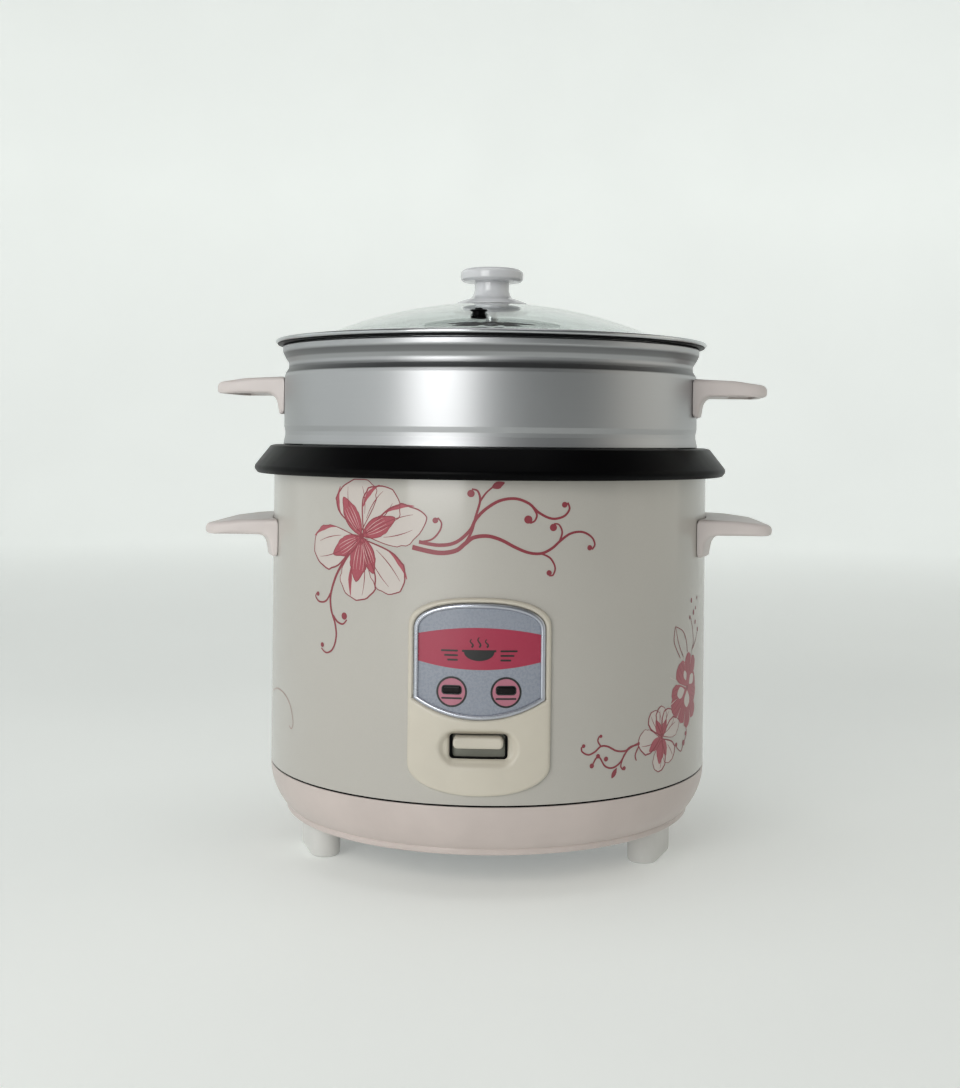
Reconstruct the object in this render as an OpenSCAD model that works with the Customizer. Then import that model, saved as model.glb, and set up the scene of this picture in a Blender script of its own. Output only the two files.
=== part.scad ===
// Straight-sided electric rice cooker: printed steel body on three feet, removable pot,
// aluminium steamer tier and glass lid, with a magnetic thermostat worked by a front switch.
// Units are millimetres. Origin: centre of the footprint on the table, +Z up, front faces -Y.

/* [Body] */
// Outside diameter of the printed steel shell
body_d = 250; // [246:1:254]
// Height of the seam between the plastic base and the steel shell
seam_z = 48.6; // [48.2:0.2:50]
// Height of the flat top of the black rim ring
rim_top_z = 228; // [227:0.5:229]
// Outside diameter of the flared rim ring
rim_d = 273.6; // [270:0.4:276]

/* [Handles] */
// Distance of a body handle's tip from the cooker's axis
body_handle_reach = 158.6; // [156:0.2:164]
// Distance of a steamer handle's tip from the cooker's axis
steamer_handle_reach = 158; // [155:1:164]

/* [Pot] */
// Outside diameter of the inner pot's wall
pot_d = 218; // [214:1:218]
// Wall thickness of the inner pot
pot_t = 1.2; // [1:0.1:1.6]

/* [Steamer] */
// Outside diameter of the steamer's straight wall
steamer_d = 239.2; // [239:0.2:240]
// Diameter of one steam hole
steam_hole_d = 6; // [4:0.5:7]

/* [Lid] */
// Thickness of the lid glass
glass_t = 3; // [2.6:0.2:3]
// Diameter of the knob's cap
knob_d = 36.8; // [34:0.2:40]

/* [Switch] */
// Tilt of the cooking lever for drawing it pressed
lever_press = 0; // [0:0.2:4.6]

/* [Hidden] */

$fn = 96;
fit_gap = 0.1;          // general clearance between neighbouring pieces
slip = 0.05;            // radial clearance of screws and pins

body_r = body_d / 2;
sheet_t = 0.6;          // steel sheet of the shell and the casing
base_z = 21;            // underside of the base
base_arc_r = 34;        // radius of the base's rounded side
plate_z = 23.3;         // underside of the steel bottom plate
shell_top_z = 225;      // upper edge of the shell, inside the rim ring

casing_r = 113;         // inner casing, outside
casing_z = 80;          // underside of the inner casing
casing_flange_z = 216;  // top face of the casing's flange

body_screw_z = 183;     // height of the body handles' screws
steamer_rivet_z = 252;  // height of the steamer handles' rivets

foot_angles = [-160, -20, 90];
foot_r = 98;            // distance of the feet from the axis
foot_w = 17;
foot_l = 40;

tie_angles = [-35, 215, 90];
tie_r = 76;
ring_screw_angles = [45, 135, 225, 315];
ring_screw_r = 119.5;

hot_z = 96.8;           // top of the heating plate and of the sensor cap
hot_r = 88;
element_r = 62;
pot_z = 97;             // underside of the pot

pivot_y = -60;          // hinge of the cooking lever
pivot_z = 64;
pin_r = 2;
strip_z = 57.7;         // underside of the lever's strip
strip_t = 1.6;

steamer_r = steamer_d / 2;
steamer_turn = -4;      // the steamer sits turned a little on the pot
steamer_t = 1;
collar_r = 107;         // collar of the steamer that drops into the pot
collar_z = 222;

dome_top_z = 311.2;     // crown of the glass lid
dome_r = 245;           // radius of the dome's outer face
glass_r = 119.5;
flange_z = 287.8;       // top of the flat flange round the dome
vent = [-4.2, -74];     // steam vent in the lid

panel_r = 127.6;        // front face of the control panel
panel_half_w = 36;
label_r = 126.3;        // floor of the pocket under the trim and the label
slot_w = 29.3;
slot_z = [72.5, 84.9];
lamp_x = 13.6;
lamp_z = 107.2;

inlet_z = 69;

ivory = [0.86, 0.84, 0.76];
blush = [0.86, 0.82, 0.80];
steel = [0.75, 0.76, 0.78];

// ---------- helpers ----------

// Tube between two radii, standing on z0
module ring(r_out, r_in, z0, z1) {
    translate([0, 0, z0]) difference() {
        cylinder(r = r_out, h = z1 - z0);
        translate([0, 0, -1]) cylinder(r = r_in, h = z1 - z0 + 2);
    }
}

// Disc or post between two heights
module post(r, z0, z1) {
    translate([0, 0, z0]) cylinder(r = r, h = z1 - z0);
}

// Box given by its two corners
module block(a, b) {
    translate(a) cube(b - a);
}

// Children copied to a circle of radius r at the listed angles
module around(r, angles) {
    for (a = angles) rotate([0, 0, a]) translate([r, 0, 0]) children();
}

// Pan-head screw pointing up, its head's bearing face at the origin
module screw(r, len, head_r = 2.9, head_h = 2) {
    post(r, 0, len);
    post(head_r, -head_h, 0);
}

// 2D rectangle with round corners, centred
module round_rect(w, h, r) {
    square([w - 2 * r, h], center = true);
    square([w, h - 2 * r], center = true);
    for (x = [-1, 1], y = [-1, 1]) translate([x * (w / 2 - r), y * (h / 2 - r)]) circle(r = r);
}

// A 2D shape in the front (X, Z) plane, cut out of the wall between two radii
module on_front_wall(r_out, r_in, side = -1) {
    intersection() {
        ring(r_out, r_in, 0, 240);
        rotate([90, 0, side < 0 ? 0 : 180]) translate([0, 0, 60]) linear_extrude(90) children();
    }
}

// Unit offsets of a superellipse quarter: share of the width gives share of the height
function crown(x, n) = pow(1 - pow(min(abs(x), 1), n), 1 / n);

// Outline symmetric about x = 0 from a top curve and a bottom curve, both functions of x / half width
function outline(half_w, top, bottom, steps = 18) = concat(
    [for (i = [-steps : steps]) let (s = sin(90 * i / steps)) [half_w * s, top(s)]],
    [for (i = [steps : -1 : -steps]) let (s = sin(90 * i / steps)) [half_w * s, bottom(s)]]
);

function ring_of_points(centre, side_dir, up_dir, r, sides) =
    [for (j = [0 : sides - 1]) centre + r * (cos(360 * j / sides) * side_dir + sin(360 * j / sides) * up_dir)];

// Closed tube through a list of rings
module skin(rings) {
    n = len(rings);
    m = len(rings[0]);
    polyhedron(
        points = [for (ring_points = rings) for (p = ring_points) p],
        faces = concat(
            [[for (j = [0 : m - 1]) j]],
            [for (i = [0 : n - 2], j = [0 : m - 1])
                let (k = (j + 1) % m) [i * m + j, (i + 1) * m + j, (i + 1) * m + k, i * m + k]],
            [[for (j = [m - 1 : -1 : 0]) (n - 1) * m + j]]
        )
    );
}

// Helical spring of round wire, standing between z0 and z1
module spring(coil_r, wire_r, z0, z1, turns, per_turn = 18, sides = 8) {
    n = turns * per_turn;
    rise = z1 - z0 - 2 * wire_r;
    skin([for (i = [0 : n])
        let (a = 360 * i / per_turn, out = [cos(a), sin(a), 0])
        ring_of_points(coil_r * out + [0, 0, z0 + wire_r + rise * i / n], out, [0, 0, 1], wire_r, sides)]);
}

function unit(v) = v / norm(v);
// Point on the smooth curve through the middle two of four points
function smooth_point(p, t) = 0.5 * (2 * p[1] + (p[2] - p[0]) * t
    + (2 * p[0] - 5 * p[1] + 4 * p[2] - p[3]) * t * t + (3 * p[1] - p[0] - 3 * p[2] + p[3]) * t * t * t);
function route_points(r, steps) = concat(
    [for (i = [0 : len(r) - 2], s = [0 : steps - 1])
        smooth_point([r[max(i - 1, 0)], r[i], r[i + 1], r[min(i + 2, len(r) - 1)]], s / steps)],
    [r[len(r) - 1]]
);

// Wire along a smooth route
module wire(route, r = 1.1, steps = 4, sides = 8) {
    p = route_points(route, steps);
    n = len(p) - 1;
    skin([for (i = [0 : n])
        let (
            along = unit(p[min(i + 1, n)] - p[max(i - 1, 0)]),
            side_dir = unit(cross(along, [0.31, 0.23, 0.92])),
            up_dir = cross(side_dir, along)
        )
        ring_of_points(p[i], side_dir, -up_dir, r, sides)]);
}

// ---------- base ----------

// Half section of the rounded base wall, outside line from the seam down to the lip
function base_outside(steps = 10) = [
    for (i = [0 : steps])
        let (a = 43 * i / steps)
        [body_r - base_arc_r + base_arc_r * cos(a), seam_z - 0.4 - base_arc_r * sin(a)]
];
function base_inside(steps = 10) = [
    for (i = [steps : -1 : 0])
        let (a = 50 * i / steps, r = base_arc_r - 2.4)
        [body_r - base_arc_r + r * cos(a), seam_z - 0.4 - r * sin(a)]
];

module base_shell() {
    color(blush) difference() {
        rotate_extrude() polygon(concat(
            base_outside(),
            [[115.3, 24.7], [115.6, 24.3], [115.6, 22], [115.1, 21.6], [110.4, base_z],
             [84, base_z], [84, base_z + 2.2], [107, base_z + 2.2]],
            base_inside(),
            [[121.8, seam_z], [121.8, 58], [124.2, 58], [124.2, seam_z - 0.4]]
        ));
        around(foot_r, foot_angles) post(1.8, base_z - 1, base_z + 4);
    }
}

// Pressed steel plate that closes the base, with rows of cooling slots
module bottom_plate() {
    color(steel) difference() {
        ring(88, 6, plate_z, plate_z + 0.8);
        around(tie_r, tie_angles) post(1.8, plate_z - 1, plate_z + 2);
        for (r = [30, 42, 54], a = [0 : 30 : 330])
            rotate([0, 0, a]) translate([r, 0, plate_z - 1]) linear_extrude(3) round_rect(3, 9, 1.4);
    }
}

module foot(a) {
    color([0.83, 0.83, 0.85]) rotate([0, 0, a]) translate([foot_r, 0, 0]) difference() {
        union() {
            translate([0, 0, 1.2]) linear_extrude(base_z - 1.2 - fit_gap) round_rect(foot_w, foot_l, foot_w / 2 - 0.01);
            linear_extrude(1.2) round_rect(foot_w - 1.6, foot_l - 1.6, foot_w / 2 - 0.81);
        }
        post(4, -1, 13);
        post(1.8, 12, 30);
    }
}
module foot_front_left() foot(foot_angles[0]);
module foot_front_right() foot(foot_angles[1]);
module foot_rear() foot(foot_angles[2]);

module foot_screws() {
    color(steel) around(foot_r, foot_angles) {
        translate([0, 0, 13]) screw(1.7, 11.5, 3.6, 2.2);
        post(3.4, base_z + 2.3, base_z + 4.6);
    }
}

module tie_rods() {
    color(steel) around(tie_r, tie_angles) difference() {
        post(3.5, plate_z + 0.8 + fit_gap, casing_z - fit_gap);
        post(1.55, plate_z, plate_z + 12);
        post(1.55, casing_z - 12, casing_z + 1);
    }
}

module tie_rod_screws() {
    color(steel) around(tie_r, tie_angles) {
        translate([0, 0, plate_z - slip]) screw(1.5, 10, 2.9, 1.8);
        translate([0, 0, casing_z + sheet_t + slip]) mirror([0, 0, 1]) screw(1.5, 10, 2.9, 1.8);
    }
}

// ---------- shell, rim ring and casing ----------

module outer_shell() {
    color([0.72, 0.72, 0.70]) difference() {
        ring(body_r, body_r - sheet_t, seam_z + 0.6, shell_top_z);
        block([-28, -130, 64], [28, -100, 148]);
        block([-17.5, 100, inlet_z - 10.8], [17.5, 130, inlet_z + 10.8]);
        for (x = [-21, 21]) translate([x, 130, inlet_z]) rotate([90, 0, 0]) cylinder(r = 1.8, h = 30);
        for (a = [0, 180], t = [-14, 14]) rotate([0, 0, a + t])
            translate([110, 0, body_screw_z]) rotate([0, 90, 0]) cylinder(r = 1.8, h = 30);
    }
}

// Flared black ring that caps the shell; the pot drops through it
module top_ring() {
    rim_r = rim_d / 2;
    skirt = body_r + 0.2;
    color([0.06, 0.06, 0.07]) difference() {
        union() {
            rotate_extrude() polygon([
                [113.3, 217], [115.5, 217], [115.5, 225.5], [skirt + 0.4, 225.3], [127, 224], [132.2, 217.2],
                [132.6, 215.8], [132, 214.2], [skirt + 1.6, 213.4], [skirt + 1.6, 212],
                [rim_r - 2.6, 212], [rim_r - 1, 212.9], [rim_r - 0.1, 214.4], [rim_r, 215.9], [rim_r - 0.7, 217.6],
                [127.6, 227], [126.5, 227.8], [125, rim_top_z], [114.3, rim_top_z], [113.3, rim_top_z - 1]
            ]);
            around(ring_screw_r, ring_screw_angles) post(3.6, casing_flange_z + fit_gap, 226);
        }
        around(ring_screw_r, ring_screw_angles) post(1.55, 200, 224.5);
    }
}

module ring_screws() {
    color(steel) around(ring_screw_r, ring_screw_angles)
        translate([0, 0, casing_flange_z - sheet_t - slip]) screw(1.5, 8, 2.9, 1.8);
}

// Thin can between the shell and the pot; it carries the heating plate
module inner_casing() {
    color([0.70, 0.71, 0.72]) difference() {
        union() {
            ring(casing_r, casing_r - sheet_t, casing_z, casing_flange_z);
            ring(123.6, casing_r - 0.3, casing_flange_z - sheet_t, casing_flange_z);
            post(casing_r - 0.3, casing_z, casing_z + sheet_t);
        }
        post(38, 70, 90);
        around(ring_screw_r, ring_screw_angles) post(1.8, 200, 230);
        around(tie_r, tie_angles) post(1.8, 70, 90);
        around(element_r, [75, 105]) post(6, 70, 90);
        around(hot_r - 12, post_angles) post(2.4, 70, 90);
        for (x = [-16, 16]) translate([x, pivot_y, 0]) post(1.8, 70, 90);
        translate([40, 20, 0]) post(1.8, 70, 90);
        translate([-52, 44, 0]) post(1.8, 70, 90);
    }
}

// ---------- handles ----------

// Grip half section: rises from a thin bracket on the wall to a tapering shelf
function grip_section(r0, tip, z_low, z_under, z_root, z_tip) = [
    [r0, z_low + 0.6], [r0 + 1.4, z_low], [r0 + 2.4, z_low + 1.2], [r0 + 3, z_low + 5.4],
    [r0 + 5, z_under - 2.4], [r0 + 7.6, z_under - 0.6], [r0 + 11, z_under],
    [tip - 3.6, z_under], [tip - 1.2, z_under + 0.8], [tip, z_under + 2.4], [tip - 0.8, z_tip - 0.6],
    [tip - 3, z_tip + 0.6], [tip - 9, z_tip + 1.7], [r0 + (tip - r0) * 0.4, z_root - 0.8],
    [r0 + 1.2, z_root], [r0, z_root - 0.6]
];

// D-shaped plan of the grip: a superellipse reaching from inside the wall to the tip
function grip_plan(r0, tip, half_w, inset = 0, steps = 20) = [
    for (i = [-steps : steps])
        let (s = sin(90 * i / steps))
        [r0 - 20 + (tip - r0 + 20 - inset) * crown(s, 4), (half_w - inset) * s]
];

module handle(r0, tip, half_w, z_low, z_under, z_root, z_tip, screw_deg, screw_z) {
    color(blush) difference() {
        intersection() {
            rotate([0, 0, -30]) rotate_extrude(angle = 60)
                polygon(grip_section(r0, tip, z_low, z_under, z_root, z_tip));
            translate([0, 0, z_low - 5]) linear_extrude(60) polygon(grip_plan(r0, tip, half_w));
        }
        // hollow underside of the grip
        intersection() {
            rotate([0, 0, -30]) rotate_extrude(angle = 60) polygon([
                [r0 + 11, z_under - 4], [tip - 4, z_under - 4], [tip - 4, z_tip - 2.2],
                [r0 + 16, z_root - 3.6], [r0 + 11, z_root - 3.4]
            ]);
            translate([0, 0, z_low - 5]) linear_extrude(60) polygon(grip_plan(r0, tip, half_w, 2.6));
        }
        for (a = [-screw_deg, screw_deg]) rotate([0, 0, a]) translate([r0 - 5, 0, screw_z])
            rotate([0, 90, 0]) cylinder(r = 1.55, h = 7);
    }
}

module body_handle() handle(body_r + slip, body_handle_reach, 47, 166.8, 179, 187.9, 184.8, 14, body_screw_z);
module body_handle_right() body_handle();
module body_handle_left() rotate([0, 0, 180]) body_handle();

module body_handle_screws() {
    color(steel) for (a = [0, 180], t = [-14, 14]) rotate([0, 0, a + t])
        translate([body_r - sheet_t - 0.3, 0, body_screw_z]) rotate([0, 90, 0]) screw(1.45, 2.4, 2.9, 1.8);
}

// ---------- control panel ----------

function panel_top(x) = 138 + 15.2 * crown(x, 2.4);
function panel_bottom(x) = 69.6 - 15.6 * crown(x, 2.2);
// Lower edge of the trim: one arc between two sharp corners
function trim_bottom(x, inset, half_w) = 92.3 + inset + 60.8 - sqrt(pow(60.8, 2) - pow(half_w * x, 2));
module trim_outline(inset) {
    half_w = 33.1 - inset;
    polygon(outline(half_w, function(x) 136.6 + (13.9 - inset) * crown(x, 2.4),
        function(x) trim_bottom(x, inset, half_w)));
}

// Front opening for the button, with its shallow finger recess
module slot_outline() translate([0, (slot_z[0] + slot_z[1]) / 2])
    round_rect(slot_w, slot_z[1] - slot_z[0], 2);
module recess_outline() translate([0, 78.3]) round_rect(40.5, 20, 8);
module lamp_holes(w, h) for (x = [-lamp_x, lamp_x]) translate([x, lamp_z]) round_rect(w, h, 1);

module panel_frame() {
    color(ivory) {
        difference() {
            on_front_wall(panel_r, body_r + slip)
                polygon(outline(panel_half_w, function(x) panel_top(x), function(x) panel_bottom(x)));
            on_front_wall(140, 110) slot_outline();
            on_front_wall(140, panel_r - 1.2) recess_outline();
            on_front_wall(140, label_r) trim_outline(-slip);
            on_front_wall(140, 110) lamp_holes(9.6, 4.1);
        }
        for (x = [-27.4, 25.8], z = [70, 140])
            block([x, -sqrt(pow(body_r + 1, 2) - pow(27.4, 2)), z - 3], [x + 1.6, -119, z + 3]);
    }
}

module panel_trim() {
    color([0.78, 0.79, 0.82]) on_front_wall(panel_r + 0.7, label_r + slip) difference() {
        trim_outline(0);
        trim_outline(2);
    }
}

module panel_label() {
    color([0.62, 0.65, 0.70]) on_front_wall(label_r + 0.7, label_r + slip) difference() {
        trim_outline(2 + slip);
        lamp_holes(9.4, 3.9);
    }
}

module lamp_window(x) {
    color([0.16, 0.05, 0.05]) on_front_wall(label_r + 0.9, label_r - 1.6)
        translate([x, lamp_z]) round_rect(9.2, 3.7, 0.9);
}
module cook_lamp_window() lamp_window(-lamp_x);
module warm_lamp_window() lamp_window(lamp_x);

lamp_y = -119;
module lamp_holder() {
    color([0.9, 0.9, 0.88]) difference() {
        intersection() {
            block([-23, -125, 102.6], [23, -115, 111.8]);
            post(body_r - 0.1, 90, 120);
        }
        for (x = [-lamp_x, lamp_x]) translate([x, 0, lamp_z]) {
            translate([-7, lamp_y, 0]) rotate([0, 90, 0]) cylinder(r = 2.8, h = 14);
            block([-5, -126, -2.2], [5, lamp_y, 2.2]);
        }
    }
}
module neon_lamp(x) color([0.95, 0.75, 0.55]) translate([x - 6, lamp_y, lamp_z])
    rotate([0, 90, 0]) cylinder(r = 2.6, h = 12);
module cook_lamp() neon_lamp(-lamp_x);
module warm_lamp() neon_lamp(lamp_x);

// ---------- heating plate and thermostat ----------

post_angles = [-60, 180, 60];
element_z = 87.2;       // centre of the heating rod in the groove under the plate

module heating_plate() {
    color([0.66, 0.67, 0.68]) difference() {
        rotate_extrude() polygon([
            [21, 86], [element_r - 3.7, 86], [element_r - 3.7, element_z + 3.7],
            [element_r + 3.7, element_z + 3.7], [element_r + 3.7, 86],
            [hot_r - 6, 86], [hot_r - 2, 88], [hot_r, 91], [hot_r, hot_z - 2], [hot_r - 2, hot_z], [21, hot_z]
        ]);
        around(hot_r - 12, post_angles) post(1.55, 80, 93);
        for (x = [-30, 30]) translate([x, 0, 0]) post(1.55, 80, 92);
    }
}

// Open ring of sheathed heating rod, pressed into the groove under the plate
module heating_element() {
    color([0.35, 0.34, 0.33]) {
        rotate([0, 0, 105]) rotate_extrude(angle = 330) translate([element_r, element_z]) circle(r = 3.5);
        around(element_r, [75, 105]) {
            post(3, 74, element_z);
            block([-0.5, -2.4, 66], [0.5, 2.4, 75]);
        }
    }
}

module plate_posts() {
    color(steel) around(hot_r - 12, post_angles) {
        post(1.5, casing_z - 3, 92);
        post(4, casing_z + sheet_t + slip, 86 - slip);
        post(3.2, casing_z - 2.6, casing_z - slip);
    }
}

module keep_warm_band() {
    color([0.72, 0.62, 0.42]) rotate([0, 0, -55]) rotate_extrude(angle = 290)
        translate([casing_r + slip, 112]) square([1.5, 22]);
}

module thermal_fuse() {
    color([0.9, 0.88, 0.8]) translate([34, 6, casing_z - 3.2]) rotate([-90, 0, 0]) cylinder(r = 2.2, h = 28);
    color(steel) difference() {
        union() {
            translate([34, 16, casing_z - 3.2]) rotate([-90, 0, 0]) cylinder(r = 3.1, h = 8);
            block([34, 16, casing_z - 1.3], [45, 24, casing_z - 0.1]);
        }
        translate([34, 10, casing_z - 3.2]) rotate([-90, 0, 0]) cylinder(r = 2.25, h = 20);
        translate([40, 20, 0]) post(1.55, 70, 90);
        block([28, 10, casing_z - 0.1], [38, 30, casing_z + 3]);
    }
}

bridge_z = 73.5;
module thermostat_frame() {
    color([0.80, 0.80, 0.78]) difference() {
        union() {
            block([-26.3, -8, bridge_z], [26.3, 8, bridge_z + 1.5]);
            for (s = [-1, 1]) {
                block([s > 0 ? 24.8 : -26.3, -8, bridge_z], [s > 0 ? 26.3 : -24.8, 8, 86 - slip]);
                block([s > 0 ? 26.2 : -34.5, -8, 84.5], [s > 0 ? 34.5 : -26.2, 8, 86 - slip]);
            }
            ring(16.6, 15, bridge_z + 1, 89.5);
        }
        post(3, 60, 80);
        for (x = [-30, 30]) translate([x, 0, 0]) post(1.8, 80, 90);
    }
}
module thermostat_screws() {
    color(steel) for (x = [-30, 30]) translate([x, 0, 84.5 - slip]) screw(1.5, 7, 2.8, 1.6);
}

module sensor_cap() {
    color([0.84, 0.85, 0.86]) rotate_extrude() polygon([
        [0, hot_z - 1.2], [16.8, hot_z - 1.2], [16.8, 84], [20, 84], [20, 85], [18, 85],
        [18, hot_z - 1.2], [17, hot_z], [0, hot_z]
    ]);
}
module sensor_ferrite() color([0.2, 0.2, 0.22]) post(14, 90, hot_z - 1.2 - slip);
module sensor_spring() color(steel) spring(18.3, 0.6, bridge_z + 1.5 + fit_gap, 84 - fit_gap, 4);

module thermostat_magnet() color([0.15, 0.15, 0.16]) ring(13.5, 2.55, 79.5, 84.2);
module magnet_rod() {
    color([0.82, 0.70, 0.36]) {
        post(2.5, 52, 84.2);
        post(5.5, 60.1, 61.3);
        post(5.5, 52, 53.2);
        post(5, 78, 79.4);
    }
}
module magnet_spring() color(steel) spring(4.3, 0.5, 61.3 + fit_gap, bridge_z - fit_gap, 5, 14);

// ---------- cooking lever ----------

module lever_bracket() {
    color([0.78, 0.78, 0.76]) difference() {
        union() {
            block([-22, -72, casing_z - 1.3], [22, -48, casing_z - fit_gap]);
            block([-10.8, -72, 54], [-9.6, -48, casing_z - 1]);
            block([9.6, -72, 54], [10.8, -48, casing_z - 1]);
            block([9.6, -93, 42], [10.8, -66, 54.5]);
        }
        translate([-20, pivot_y, pivot_z]) rotate([0, 90, 0]) cylinder(r = pin_r + 0.02, h = 40);
        for (x = [-16, 16]) translate([x, pivot_y, 0]) post(1.8, 70, 90);
        for (y = [-87, -77]) translate([0, y, 46]) rotate([0, 90, 0]) cylinder(r = 1.3, h = 20);
    }
}
module lever_pin() {
    color(steel) translate([-12.4, pivot_y, pivot_z]) rotate([0, 90, 0]) {
        cylinder(r = pin_r, h = 24.8);
        cylinder(r = 3.2, h = 1.5);
        translate([0, 0, 23.3]) cylinder(r = 3.2, h = 1.5);
    }
}
module bracket_screws() {
    color(steel) {
        for (x = [-16, 16]) translate([x, pivot_y, casing_z - 1.3 - slip]) {
            screw(1.5, 4.4, 2.9, 1.8);
            post(2.8, 2.1, 4);
        }
        for (y = [-87, -77]) translate([9.5, y, 46]) rotate([0, 90, 0]) screw(1.25, 8.8, 2.2, 1.2);
    }
}

// Turns the lever about its pin
module pressed() translate([0, pivot_y, pivot_z]) rotate([lever_press, 0, 0])
    translate([0, -pivot_y, -pivot_z]) children();

front_y = -120.6;       // front face of the lever's upright plate, behind the slot
module switch_lever() {
    color(steel) pressed() difference() {
        union() {
            block([-7, front_y, strip_z], [7, 8.5, strip_z + strip_t]);
            for (s = [-1, 1]) block([s > 0 ? 5.8 : -7, -67, strip_z], [s > 0 ? 7 : -5.8, -53, 68.5]);
            block([-13.2, front_y, strip_z], [13.2, front_y + 1.6, 93]);
            block([6, -83.5, strip_z], [17.3, -76.5, strip_z + strip_t]);
        }
        translate([-20, pivot_y, pivot_z]) rotate([0, 90, 0]) cylinder(r = pin_r + 0.06, h = 40);
        block([-3.2, -6, strip_z - 2], [3.2, 10, strip_z + 4]);
        for (x = [-8, 8]) translate([x, front_y + 5, 81.3]) rotate([90, 0, 0]) cylinder(r = 1.55, h = 10);
    }
}

// Moulded key with two pegs that snap into the lever's plate
module switch_button() {
    color(ivory) pressed() {
        intersection() {
            translate([0, front_y - slip, 81.3]) rotate([90, 0, 0]) linear_extrude(11) round_rect(25, 5.6, 2.4);
            post(130.4, 60, 100);
        }
        for (x = [-8, 8]) translate([x, front_y + 2.4, 81.3]) rotate([90, 0, 0]) cylinder(r = 1.5, h = 5);
    }
}

module microswitch() {
    color([0.12, 0.12, 0.13]) difference() {
        block([10.85, -92, 42], [17.25, -72, 54]);
        for (y = [-87, -77]) translate([0, y, 46]) rotate([0, 90, 0]) cylinder(r = 1.3, h = 30);
        translate([14, -80, 0]) post(1.4, 48, 60);
    }
    color([0.8, 0.65, 0.3]) for (y = [-88, -76]) block([12.5, y - 0.4, 37], [15.5, y + 0.4, 42]);
}
module microswitch_plunger() color([0.8, 0.1, 0.1]) translate([14, -80, 0]) post(1.3, 50.2, strip_z - 0.3);

// ---------- power inlet and wires ----------

module inlet_socket() {
    color([0.09, 0.09, 0.1]) difference() {
        union() {
            on_front_wall(panel_r, body_r + slip, 1) translate([0, inlet_z]) round_rect(50, 32, 5);
            block([-17, 100, inlet_z - 10.4], [17, 125.6, inlet_z + 10.4]);
        }
        block([-12.5, 111, inlet_z - 8.4], [12.5, 140, inlet_z + 8.4]);
        for (x = [-21, 21]) translate([x, 140, inlet_z]) rotate([90, 0, 0]) cylinder(r = 1.55, h = 30);
        for (p = inlet_pin_places) translate([p[0] - 2.05, 90, inlet_z + p[1] - 1.05]) cube([4.1, 30, 2.1]);
    }
}
inlet_pin_places = [[-7, 1], [7, 1], [0, 4]];
module inlet_pins() {
    color([0.8, 0.68, 0.35]) for (p = inlet_pin_places)
        translate([p[0] - 2, 95, inlet_z + p[1] - 1]) cube([4, 26, 2]);
}
module inlet_screws() {
    color(steel) for (x = [-21, 21]) translate([x, 126.3, inlet_z]) rotate([90, 0, 0]) screw(1.5, 9, 2.9, 1.8);
}

// Wire routes, from the inlet or switch end to the load end
live_route = [[7, 94.4, 70], [9, 90, 67], [22, 84, 56], [36, 60, 48], [40, 20, 44], [36, -30, 40], [24, -66, 34], [14, -76, 36.1]];
element_route = [[14, -88, 36.1], [24, -86, 32], [44, -50, 34], [52, 0, 40], [44, 42, 52], [26, 60, 62], [16, 60, 65.1]];
neutral_route = [[-7, 94.4, 70], [-9, 90, 67], [-20, 82, 60], [-24, 68, 58], [-18, 61, 62], [-16, 59.9, 65.4]];
earth_route = [[0, 94.8, 73], [-2, 90, 73], [-16, 88, 70], [-44, 66, 66], [-54, 50, 70], [-52, 44, 77.4]];
module live_wire() color([0.55, 0.3, 0.2]) wire(live_route);
module element_wire() color([0.9, 0.9, 0.9]) wire(element_route);
module neutral_wire() color([0.2, 0.35, 0.7]) wire(neutral_route);
module earth_wire() color([0.5, 0.7, 0.2]) {
    wire(earth_route);
    translate([-52, 44, casing_z - 0.1]) mirror([0, 0, 1]) post(2.6, 0, 2);
    translate([-52, 44, 0]) post(1.5, casing_z - 1, casing_z + 3);
}

// ---------- pot ----------

module inner_pot() {
    r = pot_d / 2;
    corner = 12;
    color([0.74, 0.75, 0.76]) rotate_extrude() polygon(concat(
        [[0, pot_z]],
        [for (a = [-90 : 10 : 0]) [r - corner + corner * cos(a), pot_z + corner + corner * sin(a)]],
        [[r, 228.6], [117.4, 228.6], [118.3, 229], [118.7, 229.8], [118.3, 230.6], [117.4, 231], [r, 231], [r - pot_t, 229.6]],
        [for (a = [0 : -10 : -90]) let (c = corner - pot_t) [r - corner + c * cos(a), pot_z + corner + c * sin(a)]],
        [[0, pot_z + pot_t]]
    ));
}

// ---------- steamer ----------

// Wall line from the rim bead through the waist groove to the flared foot; inset moves it inwards
function steamer_line(inset) = [
    for (p = [[0.3, 284.4], [0.5, 283.2], [1.2, 282.6], [1.2, 281.2], [0.4, 279.4], [-0.6, 277.2], [-1.8, 275.6],
              [-2.4, 274], [-2.4, 272.2], [-1.8, 270.6], [-0.9, 269.2], [-0.2, 267.8], [0, 266.6],
              [0, 246], [-0.7, 237], [-0.7, 233.4], [-0.2, 231.6], [0.4, 229.6]])
        [steamer_r + p[0] - inset, p[1]]
];
module steamer_body() {
    inner = steamer_line(steamer_t);
    color([0.80, 0.81, 0.83]) difference() {
        rotate_extrude() polygon(concat(
            steamer_line(0),
            [[steamer_r + 0.4, rim_top_z + 0.4], [steamer_r - 0.5, rim_top_z + 0.4], [steamer_r - 0.5, 231.2],
             [collar_r, 231.2], [collar_r, collar_z], [100, collar_z], [100, collar_z + 1], [collar_r - 1, collar_z + 1],
             [collar_r - 1, 232.2]],
            [for (i = [len(inner) - 3 : -1 : 0]) inner[i]]
        ));
        for (a = [0, 180], t = [-9, 9]) rotate([0, 0, a + t + steamer_turn])
            translate([110, 0, steamer_rivet_z]) rotate([0, 90, 0]) cylinder(r = 1.8, h = 30);
    }
}

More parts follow.
